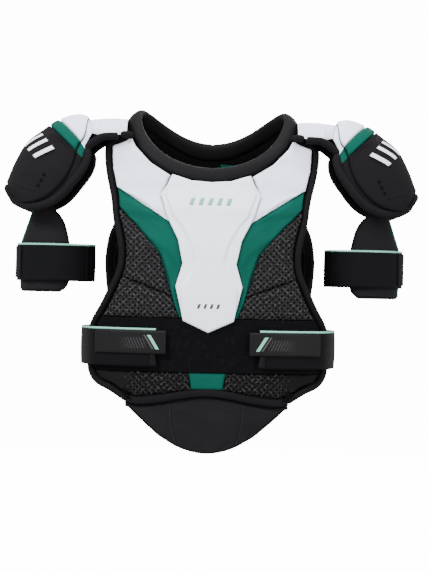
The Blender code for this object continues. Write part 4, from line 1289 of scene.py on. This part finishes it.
def add_belly():
    """The pad under the hem: three quilted channels, and the cloth that hangs it from the chest."""
    gap = Vector((0, -0.0025))
    half = [p + gap for p in HEM]
    half[0] = Vector((HEM[0].x - 0.002, HEM[0].y - 0.0012))
    low_middle = Vector((0, HEM[-1].y - BELLY_DROP - 0.001))
    low_side, low_quarter = graded([(-62, -391), (-32, -408)])
    low_quarter = Vector((low_quarter.x, low_middle.y + 0.006))
    low_side = Vector((low_side.x, low_middle.y + 0.022))
    left = [low_side, Vector((half[0].x * 0.805, half[0].y * 0.53 + low_side.y * 0.47)), half[0]]
    pad = patch(
        edge(mirrored([low_side, low_quarter, low_middle]), True),
        edge(mirrored(half), True),
        edge(left, True),
        edge(other_side(left), True),
    )
    surface = torso_sheet(pad)

    def channel(v):
        return 0.208 + 0.091 * v

    def quilt(u, v):
        off = min(abs(u - channel(v)), abs(u - 1 + channel(v))) * 0.18
        return -0.0026 * (1 - round_over(off, 0.006))

    face = pad_piece("belly_pad_face", surface, 84, 40, "quilt_jersey", -LINER / 2, 0.0046, turn=0.006,
                     shape=quilt)
    back = pad_piece("belly_pad_lining", surface, 40, 20, "black_lining", -LINER / 2, -0.0042, turn=0.005)
    back.data.flip_normals()
    hold_as_cloth(face, 2.0, 0.0015, pins=lambda p: abs(abs(p.x) - 0.047 - 0.154 * (p.z + 0.345)) < 0.0012)
    plan(face, "belly", "fabric_black", ("belly_pad",), fill=0.6)
    plan(back, "belly", "foam_black", fill=0.5)
    for sign, side in ((-1, "right"), (1, "left")):
        shares = [0.94 - 0.86 * i / 40 for i in range(41)]
        points = [surface(0.5 + sign * (0.5 - channel(v)), v, 0.0002) for v in shares]
        out = (surface(0.5 + 0.25 * sign, 0.5, 0.01) - surface(0.5 + 0.25 * sign, 0.5, 0)).normalized()
        row = stitch_row("belly_channel_stitches_" + side, points, lambda share, out=out: out, "grey_thread",
                         radius=0.00028)
        plan(row, "belly", "fabric_black")
    rim = [surface(0, 0.96 - 0.96 * i / 16, -LINER / 2) for i in range(17)]
    rim += [surface(i / 48, 0, -LINER / 2) for i in range(1, 49)]
    rim += [surface(1, 0.96 * i / 16, -LINER / 2) for i in range(1, 17)]
    rim = resample(rim, TAPE_SPACING)
    tape = tube_piece("belly_rim", rim, 0.0032, 0.0052, "binding_tape", up_at=lambda i: Vector((0, 1, 0)),
                      sides=10)
    plan(tape, "belly", "fabric_black")
    hem = smooth_line(mirrored(HEM), 60)

    def web(u, v):
        p = hem[min(int(u * 60 + 0.5), 60)]
        q = Vector((p.x, p.y + 0.004 - 0.012 * v))
        return on_torso(q.x, q.y, -0.0028 - 0.0012 * math.sin(math.pi * v))

    strip = sheet_piece("belly_web", web, 60, 6, "black_jersey", Vector((0, -1, 0)), 0.0015)
    hinge = JOINTS["belly_fold"]
    plan(strip, ("chest", "belly"), "fabric_black",
         blend=(hinge + Vector((0, 0, 0.006)), hinge + Vector((0, 0, -0.001))))


# ---------------------------------------------------------------- back

def add_back_binding():
    """The binding tape round the back's edge."""
    outline = sideways(BACK_SIDE, BINDING_RADIUS) + [p + Vector((0, BINDING_RADIUS)) for p in BACK_HEM[1:]]
    outline[0] = outline[0] + Vector((-0.001, -0.006))
    bend = [Vector((outline[0].x + 0.006, outline[0].y + 0.0045))]
    line = even(smooth_line(mirrored(BINDING_START + bend + outline), 400), TAPE_SPACING)
    plan(wrapped_edge("back_binding_tape", line, False), "back", "fabric_black", ("back_binding",))


def add_spine_plate():
    """The moulded plate down the back, in six links with a ridge along their middle."""
    spine_side = graded([(-26, -268), (-35, -205), (-27, -145), (-39, -85), (-30, -44)], BACK_GRADE)
    spine_tip = graded([(0, -286)], BACK_GRADE)[0]
    spine_top = neck_edge(math.pi) + Vector((0, -0.006))
    spine = patch(
        edge(mirrored([spine_side[0], spine_tip])),
        edge(mirrored([spine_side[-1], spine_top])),
        edge(spine_side, True),
        edge(other_side(spine_side), True),
    )
    surface = torso_sheet(spine, False)

    def ridged(u, v):
        near = min(min(u, 1 - u) * 0.06, min(v, 1 - v) * 0.24)
        height = BED + 0.0075 * round_over(near, 0.003)
        links = abs((v * 6.0) % 1.0 - 0.5)
        height -= 0.0022 * (1 - min(links / 0.05, 1)) * min(near / 0.006, 1)
        height += 0.0018 * max(0.0, 1 - abs(2 * u - 1) / 0.5)
        return surface(u, v, height)

    plate = sheet_piece("spine_plate_moulding", ridged, 56, 180, "black_plastic", Vector((0, 1, 0)),
                        0.0015, ease=True)
    plan(plate, "back", "plastic_black", ("spine_plate",))


def add_back_panels():
    """What is sewn on the back's foam: yokes, meshes and the quilted lumbar panel."""
    back_neck = [p + NECK_SEAM for p in neckline(246, 180, 5)]
    yoke_low_side, yoke_low_in = graded([(-125, -72), (-14, -96)], BACK_GRADE)
    neck_middle = Vector((yoke_low_in.x, back_neck[-1].y))
    yoke = patch(
        edge([yoke_low_side, yoke_low_in]),
        edge([BACK_EDGE[0], SHOULDER_CORNER + NECK_SEAM] + back_neck[:3] + [neck_middle]),
        edge([yoke_low_side] + list(reversed(between(BACK_EDGE, BACK_EDGE[0].y, yoke_low_side.y)))),
        edge([yoke_low_in, neck_middle]),
    )
    mesh_side = between(BACK_EDGE, yoke_low_side.y, BAND_TOP)
    mesh = strip_between(mesh_side, [yoke_low_in, Vector((yoke_low_in.x, BAND_TOP))])
    for name, flat, columns, rows, finish, slot in (
        ("back_yoke_right", yoke, 50, 36, "white_knit", "fabric_white"),
        ("back_mesh_right", mesh, 44, 50, "spacer_mesh", "mesh_black"),
    ):
        piece = pad_piece(name + "_panel", torso_sheet(flat, False), columns, rows, finish, BED, PANEL_LOFT,
                          grain=flat)
        hold_as_cloth(piece, 1.2, PANEL_GIVE)
        plan(piece, "back", slot, (name,), fill=0.6, pair=True)
    band_side = between(BACK_EDGE, BAND_TOP, BACK_EDGE[-1].y - 0.001)
    band_low = mirrored([band_side[-1]] + [p + Vector((0, PANEL_INSET)) for p in BACK_HEM[1:]])
    band = patch(
        edge(band_low, True),
        edge([band_side[0], (-band_side[0].x, band_side[0].y)]),
        rising(band_side),
        rising(other_side(band_side)),
    )

    def ribs(u, v):
        return -0.0018 * max(0.0, 1 - abs((u * 9) % 1.0 - 0.5) / 0.06)

    piece = pad_piece("lumbar_panel_quilt", torso_sheet(band, False), 108, 26, "black_jersey", BED,
                      PANEL_LOFT, shape=ribs)
    plan(piece, "back", "fabric_black", ("lumbar_panel",), fill=0.6)


def add_care_tag():
    """The small blank tag sewn inside the back's neck."""
    tag = strip_between([(0.012, -0.023), (0.012, -0.036)], [(0.046, -0.025), (0.046, -0.038)])
    lift = torso_sheet(tag, False)
    label = sheet_piece("care_tag", lambda u, v: lift(u, v, -LINER - 0.0008 - 0.0006 * math.sin(3 * u)),
                        10, 6, "green_knit", Vector((0, -1, 0)), 0.0005, ease=True)
    plan(label, "back", "fabric_green")


# ---------------------------------------------------------------- collar, arches and rests

def add_collar():
    """The padded roll round the neck, with a row of stitches along each half."""
    steps, around = 160, 20
    front_seam = 0.012

    def skin(u, v):
        angle = 2 * math.pi * u - math.pi
        up, out = collar_frame(angle)
        turn = 2 * math.pi * v
        c, s = math.cos(turn), math.sin(turn)
        c = math.copysign(abs(c) ** 0.85, c)
        s = math.copysign(abs(s) ** 0.85, s)
        nearest = min(abs(angle), abs(abs(angle) - math.pi))
        pinch = 1 - 0.07 * max(0.0, 1 - nearest / front_seam)
        middle = collar_middle(angle)
        wave = 1 + 0.03 * noise.noise(middle * 25)
        size = pinch * wave
        middle = middle - 0.0006 * up
        wide, thick = COLLAR_WIDTH / 2 + 0.0012, COLLAR_THICKNESS / 2 + 0.0014
        return middle + size * (wide * c * up + thick * s * out)

    ring = grid_piece("collar_roll", skin, steps, around, "collar_jersey", ease=False, close_u=True)
    mend(ring, turn_outward)
    line = SHOULDER_LINE_Y
    plan(ring, ("chest", "back"), "fabric_black", ("collar_front", "collar_rear"), fill=0.8,
         blend=(Vector((0, line - 0.012, 0)), Vector((0, line + 0.012, 0))))
    for name, start in (("front", -math.pi / 2), ("rear", math.pi / 2)):
        points, outs = [], []
        for i in range(101):
            angle = start + 0.12 + (math.pi - 0.24) * i / 100
            up, out = collar_frame(angle)
            points.append(collar_middle(angle) - 0.46 * COLLAR_WIDTH * up + (0.50 * COLLAR_THICKNESS) * out)
            outs.append((out - 0.7 * up).normalized())
        row = stitch_row("collar_stitches_" + name, points, lambda s, outs=outs: outs[round(s * 100)],
                         "black_thread")
        plan(row, "chest" if name == "front" else "back", "fabric_black")


def add_neck_facings():
    """The cloth that joins the collar's lower edge to the panels, in front and behind."""
    for name, start, body in (("front", -82, "chest"), ("rear", 98, "back")):
        front = body == "chest"

        def strip(u, v, start=start, front=front):
            angle = math.radians(start + 164 * u)
            up, _ = collar_frame(angle)
            high = collar_middle(angle) - 0.36 * COLLAR_WIDTH * up
            seam = neck_edge(angle)
            low = on_torso(seam.x, seam.y - 0.008, -0.0012, front)
            return low.lerp(high, v)

        piece = sheet_piece("neck_facing_" + name, strip, 80, 6, "black_jersey",
                            Vector((0, -1 if front else 1, 0)), 0.0016)
        plan(piece, body, "fabric_black")


ARCH_OUT_X = -(ARCH_INNER + ARCH_WIDTH)
ARCH_IN_X = -(ARCH_INNER - 0.006)
ARCH_SEAM = 0.76  # where a seam runs over the arch, from its outer side to the collar


def arch_end_angle(u):
    """The arch's end comes lower towards its outer side. u is 0 there and 1 beside the collar."""
    return math.radians(98 - 8 * u)


def arch_point(u, v, height):
    u = min(max(u, 0.0), 1.0)
    angle = arch_end_angle(u) * (1 - 2 * v)
    surface = arch_surface(ARCH_OUT_X, ARCH_IN_X, angle, angle)
    crown = 0.0016 * max(math.sin(math.pi * u), 0) ** 0.5
    seam = 0.0012 * max(0.0, 1 - abs(u - ARCH_SEAM) / 0.05)
    return surface(u, 0, height + crown - seam)


def add_arches():
    """The saddle over the shoulder, and the tape round its ends."""
    line = SHOULDER_LINE_Y
    bend = (Vector((0, line - 0.014, 0)), Vector((0, line + 0.014, 0)))

    def top(u, v):
        point = arch_point(u, v, 0)
        return arch_point(u, v, ripple(point, 0.02, 0.0006))

    arch = sheet_piece("shoulder_arch_right", top, 40, 64, "white_knit", Vector((0, 0, 1)), 0.009,
                       "black_lining")
    plan(arch, ("chest", "back"), "fabric_white", ("arch_front_right", "arch_rear_right"), fill=0.6,
         blend=bend, pair=True)
    for name, v, body in (("front", 0.0, "chest"), ("rear", 1.0, "back")):
        points = [arch_point(1.0 + (ARCH_SEAM - 0.98) * i / 24, v, -0.0034) for i in range(25)]
        points = [points[0] + Vector((0.009, 0, -0.002))] + points
        way = Vector((0, -1 if name == "front" else 1, 0.05))
        points = resample(points, 0.0014)
        tape = tube_piece("arch_%s_binding_right" % name, points, 0.0094, 0.0110, "binding_tape",
                          up_at=lambda i, way=way: way, sides=16, power=2.6)
        plan(tape, body, "fabric_black", pair=True)
    low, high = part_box("shoulder_rest_right")
    middle = (low + high) / 2
    half = (high - low) / 2

    def rest(u, v):
        across, along = 2 * u - 1, 2 * v - 1
        up = round_over((1 - abs(across)) * half.x, 0.003) * round_over((1 - abs(along)) * half.y, 0.003)
        rise = low.z + 0.001 + (2 * half.z - 0.001) * up
        return Vector((middle.x + across * half.x, middle.y + along * half.y, rise))

    pad = grid_piece("shoulder_rest_pad_right", rest, 20, 28, "black_lining")
    face_out(pad, Vector((0, 0, 1)))
    mend(pad, close_holes)
    plan(pad, "chest", "foam_black", ("shoulder_rest_right",), fill=0.7, pair=True)


# ---------------------------------------------------------------- caps

COVER_TOP = 0.045  # the raised cover starts this far from the arch
COVER_END = 0.925  # and ends short of the outer rim
ROLL_END = 0.985  # the share of the crest where the roll turns along the outer rim
ROLL_START = 0.13  # where the rim's roll starts, past the binding that comes over from the arch


def stripe_line(t, high):
    """The stripe's upper or lower edge, which comes up towards the rim."""
    bend = abs(2 * t - 1) ** 1.6
    return 0.262 - 0.066 * bend if high else 0.382 - 0.084 * bend


def cap_at(s, t, height):
    return cap_surface(s, s, t, t)(0, 0, height)


def cap_out(s, t):
    return (cap_at(s, t, 0.01) - cap_at(s, t, 0)).normalized()


def cover_edge(s):
    """The share t of the raised cover's front edge, which turns in over the crown at the cover's top."""
    side = 0.078 - 0.030 * min(max((s - 0.25) / 0.3, 0), 1)
    turn = min(max((s - COVER_TOP) / 0.12, 0), 1)
    return side + (0.5 - side) * (1 - math.sqrt(1 - (1 - turn) ** 2))


def cover_surface(start, end):
    """The raised cover between two lines across the cap, each given as s by t."""

    def at(u, v, height):
        t = v
        for _ in range(4):
            s = start(t) + (end(t) - start(t)) * u
            low = cover_edge(s)
            t = low + (1 - 2 * low) * v
        return cap_at(s, t, height)

    return at


def roll_share(s):
    """Where the rim's roll lies: a little outside the cap's edge near the arch, and on it lower down."""
    return -0.055 + 0.059 * min(max((s - 0.18) / 0.35, 0), 1)


def add_cap_covers():
    """The raised crown, stripe and cover, sewn edge to edge."""
    seam = 0.003
    for name, start, end, finish, slot, columns in (
        ("cap_crown_right", lambda t: COVER_TOP + 0.002, lambda t: stripe_line(t, True) - seam,
         "white_knit", "fabric_white", 26),
        ("cap_stripe_right", lambda t: stripe_line(t, True), lambda t: stripe_line(t, False) - seam,
         "green_knit", "fabric_green", 14),
        ("cap_cover_right", lambda t: stripe_line(t, False), lambda t: COVER_END,
         "black_jersey", "fabric_black", 50),
    ):
        piece = pad_piece(name + "_panel", cover_surface(start, end), columns, 72, finish, -0.0026, 0.0040,
                          turn=0.0032)
        if name == "cap_cover_right":
            hold_as_cloth(piece, 1.5, PANEL_GIVE)
        plan(piece, "cap_right", slot, (name,), fill=0.6, pair=True)


def add_cap_skin():
    """The flat cloth under the raised covers, in their colours, out to the cap's edge."""
    crown_end, stripe_end = 0.25, 0.375  # the shares of the skin's columns up to each seam

    def skin_at(u, v):
        high, low = stripe_line(v, True), stripe_line(v, False)
        if u < crown_end:
            s = high * u / crown_end
        elif u < stripe_end:
            s = high + (low - high) * (u - crown_end) / (stripe_end - crown_end)
        else:
            s = low + (1 - low) * (u - stripe_end) / (1 - stripe_end)
        return cap_at(s, v, -0.0034)

    skin = grid_piece("cap_skin_right", skin_at, 96, 64, "white_knit", ease=False)
    face_out(skin, cap_out(0.5, 0.5))
    skin.data.materials.append(FINISH["green_knit"])
    skin.data.materials.append(FINISH["black_jersey"])
    layer = skin.data.uv_layers["cloth"].data
    longest = max(spot.uv.x for spot in layer)
    for polygon in skin.data.polygons:
        share = sum(layer[i].uv.x for i in polygon.loop_indices) / polygon.loop_total / longest
        polygon.material_index = 0 if share < crown_end else 1 if share < stripe_end else 2
    thicken(skin, 0.002)
    plan(skin, "cap_right", "fabric_white", pair=True)


def add_cap_rim():
    """The padded roll round the cap's edge, and the lining inside the cap."""
    points, ups = [], []
    for i in range(61):
        s = ROLL_START + (ROLL_END - ROLL_START) * i / 60
        points.append(cap_at(s, roll_share(s), -0.005))
        ups.append(cap_out(s, 0.0))
    for i in range(1, 40):
        points.append(cap_at(ROLL_END, i / 40, -0.006))
        ups.append(cap_out(ROLL_END, i / 40))
    for i in range(61):
        s = ROLL_END + (ROLL_START - ROLL_END) * i / 60
        points.append(cap_at(s, 1 - roll_share(s), -0.005))
        ups.append(cap_out(s, 1.0))
    spots = resample(points, TAPE_SPACING)
    total = len(spots) - 1
    roll = tube_piece("cap_rim_right", spots, 0.0115, 0.0150, "black_jersey",
                      up_at=lambda i: ups[round(i / total * (len(ups) - 1))], sides=16, power=2.5)
    plan(roll, "cap_right", "foam_black", fill=0.7, pair=True)

    inner = cap_surface(0.0, ROLL_END, 0.02, 0.98)
    lining = sheet_piece("cap_lining_right", lambda u, v: inner(u, v, -0.0095), 44, 44, "black_lining",
                         inner(0.5, 0.5, 0.01) - inner(0.5, 0.5, 0), 0.0065)
    plan(lining, "cap_right", "foam_black", ("cap_liner_right",), fill=0.6, pair=True)


def add_cap_trim():
    """The seam cord round the cover, its row of stitches, the eyelets and the printed bars."""
    line = []
    for i in range(81):
        s = COVER_TOP + (COVER_END - COVER_TOP) * (i / 80) ** 1.6
        line.append(cap_at(s, cover_edge(s) - 0.004, -0.0022))
    for i in range(1, 30):
        t = cover_edge(COVER_END)
        line.append(cap_at(COVER_END + 0.004, t + (1 - 2 * t) * i / 30, -0.0022))
    for i in range(81):
        s = COVER_TOP + (COVER_END - COVER_TOP) * (1 - i / 80) ** 1.6
        line.append(cap_at(s, 1 - cover_edge(s) + 0.004, -0.0022))
    cord = tube_piece("cap_seam_cord_right", resample(line, 0.003), 0.0017, 0.0017, "black_thread",
                      up_at=lambda i: Vector((-1, 0, 0.2)), sides=8)
    plan(cord, "cap_right", "fabric_black", pair=True)
    line, outs = [], []
    for i in range(161):
        across = 0.10 + 0.80 * i / 160
        s = COVER_END - 0.055 - 0.26 * abs(2 * across - 1) ** 3
        line.append(cap_at(s, across, 0.0013))
        outs.append(cap_out(s, across))
    row = stitch_row("cap_stitches_right", line, lambda share: outs[round(share * 160)], "black_thread")
    plan(row, "cap_right", "fabric_black", pair=True)
    for k in range(3):
        def eyelet(u, v, k=k):
            turn = 2 * math.pi * u
            across = 0.0010 + 0.0013 * v
            middle = cap_at(0.70 - 0.035 * k, 0.12 + 0.010 * k, 0.0016)
            out = cap_out(0.70, 0.12)
            side = out.cross(Vector((0, 0, 1))).normalized()
            way = math.cos(turn) * side + math.sin(turn) * out.cross(side)
            return middle + across * way + 0.0006 * v * (1 - v) * out

        ring = sheet_piece("cap_eyelet_%d_right" % (k + 1), eyelet, 16, 4, "black_thread",
                           cap_out(0.70, 0.12), 0.0006, close_u=True)
        plan(ring, "cap_right", "plastic_black", pair=True)
    for k in range(3):
        def bar(u, v, k=k):
            s = 0.47 + 0.13 * v
            t = 0.19 + 0.075 * k + 0.028 * u + 0.05 * v
            return cap_at(s, t, 0.0033)

        mark = sheet_piece("cap_bar_%d_right" % (k + 1), bar, 6, 12, "white_print", cap_out(0.5, 0.35),
                           0.0006)
        plan(mark, "cap_right", "fabric_white", pair=True)


def add_cap_gusset():
    """The cloth that hangs the cap on the arch, and the tape along its ends."""
    pivot = cap_pivot()
    bend = (pivot + Vector((0.004, 0, 0)), pivot + Vector((-0.007, 0, 0)))

    def gusset(u, v):
        point = arch_point(0.04, v, -0.0006).lerp(cap_at(0.03, 0.0 + 1.0 * v, -0.0028), u)
        return point + Vector((0, 0, 0.0006 * math.sin(math.pi * u)))

    web = sheet_piece("cap_gusset_right", gusset, 12, 56, "white_knit", Vector((0, 0, 1)), 0.003,
                      "black_lining")
    plan(web, ("chest", "cap_right"), "fabric_white", blend=bend, pair=True)
    for name, v, way in (("front", 0, -1), ("rear", 1, 1)):
        rim = [cap_at(s, roll_share(s) if v == 0 else 1 - roll_share(s), -0.005) for s in (0.12, 0.155)]
        turn = rim[0] + Vector((0.0085, 0.0, 0.0075))
        sewn = [arch_point(u, v, -0.0040) - Vector((0, 0, 0.0012)) for u in (ARCH_SEAM - 0.03, 0.45, 0.15)]
        line = edge(sewn + [turn] + rim, True)
        points = resample([line(i / 60) for i in range(61)], 0.0016)
        tape = tube_piece("gusset_%s_binding_right" % name, points, 0.0100, 0.0125, "binding_tape",
                          up_at=lambda i, way=way: Vector((0, way, 0.2)), sides=16, power=2.6)
        plan(tape, ("chest", "cap_right"), "fabric_black", blend=bend, pair=True)


# ---------------------------------------------------------------- guards and arm straps

def guard_flat():
    """The guard laid out flat: degrees round the arm against height."""
    low, high = -GUARD_DROP, NECK_TOP
    sides = []
    for turns in ((-104, -117, -117, -103, -46, -24), (84, 95, 95, 78, 44, 24)):
        heights = (low, low + 0.014, low + 0.062, high - 0.035, high - 0.014, high)
        sides.append(edge(list(zip(turns, heights)), True))
    front, rear = sides
    return patch(edge([front(0), rear(0)]), edge([front(1), rear(1)]), front, rear)


def add_guard():
    """The upper arm guard: its padded face, its lining, the green side panel and the bound edge."""
    outline = guard_flat()

    def surface(u, v, height):
        p = outline(u, v)
        return round_arm(p.x, guard_lean(p.y) - height, p.y)

    face = pad_piece("guard_pad_face_right", surface, 48, 56, "quilt_jersey", -GUARD_THICKNESS / 2,
                     GUARD_THICKNESS / 2, turn=0.006, ripples=0.0006)
    hold_as_cloth(face, 1.5, 0.001)
    plan(face, "guard_right", "fabric_black", ("guard_pad_right",), fill=0.6, pair=True)
    inside = pad_piece("guard_pad_lining_right", surface, 30, 36, "black_lining", -GUARD_THICKNESS / 2,
                       -GUARD_THICKNESS / 2, turn=0.006)
    inside.data.flip_normals()
    plan(inside, "guard_right", "foam_black", fill=0.6, pair=True)
    panel_low, panel_high = -GUARD_DROP + 0.008, NECK_TOP - 0.016
    panel_rear = [(40, panel_high), (70, -0.13), (66, panel_low)]
    panel = strip_between([(-22, panel_high), (-22, panel_low)], panel_rear)

    def outside(u, v, height):
        p = panel(u, v)
        return round_arm(p.x, guard_lean(p.y) - height, p.y)

    green = pad_piece("guard_side_panel_right", outside, 24, 40, "green_ripstop", -0.0008, 0.0018, turn=0.002,
                      ripples=0.0002)
    plan(green, "guard_right", "fabric_green", pair=True)
    rim = [surface(0, i / 40, -GUARD_THICKNESS / 2) for i in range(41)]
    rim = [surface(u / 24, 0, -GUARD_THICKNESS / 2) for u in range(24, 0, -1)] + rim
    rim = [surface(1, 1 - i / 40, -GUARD_THICKNESS / 2) for i in range(40)] + rim
    rim = resample(rim, TAPE_SPACING)
    middle = arm_middle()
    tape = tube_piece("guard_binding_right", rim, 0.0034, 0.0072, "binding_tape",
                      up_at=lambda i: Vector((rim[i].x - middle.x, rim[i].y, 0)), sides=10)
    plan(tape, "guard_right", "fabric_black", pair=True)


def add_arm_strap():
    """The arm strap's sewn loop, its free front run and the tab at its end."""
    low = -GUARD_DROP + ARM_STRAP_RISE
    high = low + ARM_STRAP_WIDTH
    hinge_at = -146

    def run(start, end, lift):
        def at(u, v):
            turn = start + (end - start) * u
            spot = round_arm(turn, -lift, low + (high - low) * v)
            bulge = 0.0006 * math.sin(turn * 0.11) * math.sin(math.pi * v)
            return round_arm(turn, -lift - bulge, spot.z)

        return at

    loop = sheet_piece("arm_strap_rear_right", run(40, 360 + hinge_at + 1, STRAP_THICKNESS), 60, 14,
                       "elastic_webbing", Vector((1, 0.3, 0)), STRAP_THICKNESS)
    plan(loop, "guard_right", "elastic_black", ("arm_loop_right",), pair=True)
    flap = sheet_piece("arm_strap_front_right", run(hinge_at - 6, -4, STRAP_THICKNESS + 0.0003), 72, 14,
                       "elastic_webbing", Vector((0, -1, 0)), STRAP_THICKNESS)
    start = round_arm(hinge_at - 5, -STRAP_THICKNESS, (low + high) / 2)
    end = round_arm(hinge_at + 5, -STRAP_THICKNESS, (low + high) / 2)
    plan(flap, ("guard_right", "arm_strap_right"), "elastic_black", ("arm_strap_right",), blend=(start, end),
         pair=True)
    tab = sheet_piece("arm_strap_tab_right", run(-34, 3, STRAP_THICKNESS + 0.0022), 20, 12,
                      "black_jersey", Vector((-1, -0.3, 0)), 0.0016)
    for vertex in tab.data.vertices:
        vertex.co.z = low + 0.004 + (vertex.co.z - low) * 0.84
    plan(tab, "arm_strap_right", "elastic_black", pair=True)


# ---------------------------------------------------------------- waist straps

def add_waist_strap():
    """The waist strap's free run, its sewn rear run, the rubber tab and the folded end."""
    line = strap_line()
    low, high = WAIST_Z - STRAP_WIDTH / 2, WAIST_Z + STRAP_WIDTH / 2
    front = strap_surface(line, 0, HINGE_SHARE + 0.022, low, high)
    rear = strap_surface(line, HINGE_SHARE + 0.016, 1, low, high)

    def strap_at(surface, base):
        def at(u, v):
            slack = 0.0008 * math.sin(9 * u) * math.sin(math.pi * v)
            return surface(u, v, base + STRAP_THICKNESS + slack)

        return at

    piece = sheet_piece("waist_strap_run_right", strap_at(front, 0), 96, 14, "elastic_webbing",
                        Vector((-1, -1, 0)), STRAP_THICKNESS)
    spot = line(HINGE_SHARE)
    behind = line(HINGE_SHARE + 0.018)
    ahead = line(HINGE_SHARE - 0.018)
    plan(piece, ("back", "waist_strap_right"), "elastic_black", ("waist_strap_right",),
         blend=(Vector((spot.x, behind.y, WAIST_Z)), Vector((spot.x, ahead.y, WAIST_Z))), pair=True)
    anchor = sheet_piece("waist_strap_anchor_right", strap_at(rear, -0.0003), 60, 14, "elastic_webbing",
                         Vector((-1, 1, 0)), STRAP_THICKNESS)
    plan(anchor, "back", "elastic_black", ("waist_anchor_right",), pair=True)

    tab_base = STRAP_THICKNESS + LAYER_GAP
    tab_high = high - TAB_DOWN
    tab_surface = strap_surface(tab_line(), 0, 1, tab_high - TAB_HEIGHT, tab_high)
    tab = pad_piece("waist_tab_label_right", tab_surface, 60, 24, "tab_rubber_print", tab_base - 0.0006,
                    0.0021, turn=0.0014, ripples=0.0)
    thicken(tab, 0.0008)
    plan(tab, "waist_strap_right", "tab_rubber", ("waist_tab_right",), pair=True)
    for name, at_share, width, finish in (
        ("waist_tab_slash_right", 0.085, 0.050, "mint_rubber"),
        ("waist_tab_bar_right", 0.160, 0.026, "grey_rubber"),
    ):
        def slash(u, v, at_share=at_share, width=width):
            return tab_surface(at_share + width * u + 0.125 * v, 0.18 + 0.64 * v, tab_base + 0.0030)

        mark = sheet_piece(name, slash, 6, 16, finish, Vector((0, -1, 0)), 0.0012)
        plan(mark, "waist_strap_right", "tab_rubber", pair=True)
    fold = strap_surface(line, 0, 0.028, low + 0.002, low + 0.0165)

    def hook(u, v):
        height = STRAP_THICKNESS + 0.0012 + 0.0016 * math.sin(math.pi * u)
        return fold(u - 0.35 * (1 - u) * (1 - v), v, height)

    end = sheet_piece("waist_strap_fold_right", hook, 12, 12, "black_jersey", Vector((0, -1, 0)), 0.0014)
    plan(end, "waist_strap_right", "elastic_black", pair=True)


# ---------------------------------------------------------------- carried-over nodes, camera and light

def finish_carried_nodes():
    """The hidden shells keep their solids and get their real finish."""
    for name in ("cap_shell_right", "cap_shell_left"):
        node = frame["nodes"][name]
        node.data.materials.clear()
        node.data.materials.append(FINISH["black_plastic"])


FLOOR_DROP = 0.22  # the floor lies this far under the pads
AIM = Vector((0, 0, -0.18))  # the lamps point at the pads' middle
CAMERA_PLACE = Vector((0.00715, -2.6, -0.195))
CAMERA_ROLL = math.radians(1.3)


def add_stage():
    """A pale floor and surround, and four soft lamps."""
    floor_z = CAD_BOUNDS[0].z - FLOOR_DROP
    bpy.ops.mesh.primitive_circle_add(vertices=64, radius=30, fill_type="NGON", location=(0, 0, floor_z))
    floor = bpy.context.object
    floor.name = "studio_floor"
    finish, tree, shader = node_tree_of("studio_paper")
    shader.inputs["Base Color"].default_value = (0.93, 0.93, 0.93, 1)
    shader.inputs["Roughness"].default_value = 0.9
    shader.inputs["Emission Color"].default_value = (1, 1, 1, 1)
    shader.inputs["Emission Strength"].default_value = 12.5
    floor.data.materials.append(finish)
    floor.visible_diffuse = False
    floor.visible_glossy = False
    world = bpy.context.scene.world or bpy.data.worlds.new("studio")
    bpy.context.scene.world = world
    world.use_nodes = True
    tree = world.node_tree
    sky = tree.nodes["Background"]
    sky.inputs["Color"].default_value = (1, 1, 1, 1)
    seen = tree.nodes.new("ShaderNodeLightPath").outputs["Is Camera Ray"]
    feed(tree, sky.inputs["Strength"], ramp(tree, seen, 0.0, 1.0, 1.45, 14.0))
    for name, place, size, power in (
        ("key_light", (-1.7, -2.0, 1.5), 1.1, 108),
        ("fill_light", (2.0, -2.1, 0.5), 1.6, 48),
        ("top_light", (0.1, -0.3, 1.9), 1.2, 46),
        ("back_light", (0.4, 2.2, 0.8), 1.6, 44),
    ):
        lamp = bpy.data.lights.new(name, "AREA")
        lamp.shape = "DISK"
        lamp.size = size
        lamp.energy = power
        light = bpy.data.objects.new(name, lamp)
        light.location = place
        light.rotation_euler = (AIM - Vector(place)).to_track_quat("-Z", "Y").to_euler()
        bpy.context.scene.collection.objects.link(light)


def add_camera():
    """A long lens in front of the pads, level with their middle and rolled a little."""
    lens = bpy.data.cameras.new("camera")
    lens.lens = 121
    lens.sensor_width = 36
    camera = bpy.data.objects.new("camera", lens)
    camera.location = CAMERA_PLACE
    camera.rotation_euler = Euler((math.radians(90), 0, 0))
    camera.rotation_euler.rotate_axis("Z", CAMERA_ROLL)
    bpy.context.scene.collection.objects.link(camera)
    bpy.context.scene.camera = camera


def main():
    add_camera()
    add_stage()
    finish_carried_nodes()
    add_foam("chest_foam", True, "chest", "chest_liner")
    add_foam("back_foam", False, "back", "back_liner")
    add_chest_edges()
    add_chest_panels()
    add_sternum_plate()
    add_belly()
    add_back_binding()
    add_spine_plate()
    add_back_panels()
    add_care_tag()
    add_collar()
    add_neck_facings()
    add_arches()
    add_cap_covers()
    add_cap_skin()
    add_cap_rim()
    add_cap_trim()
    add_cap_gusset()
    add_guard()
    add_arm_strap()
    add_waist_strap()
    settle_cloths()
    settle_plans()


main()
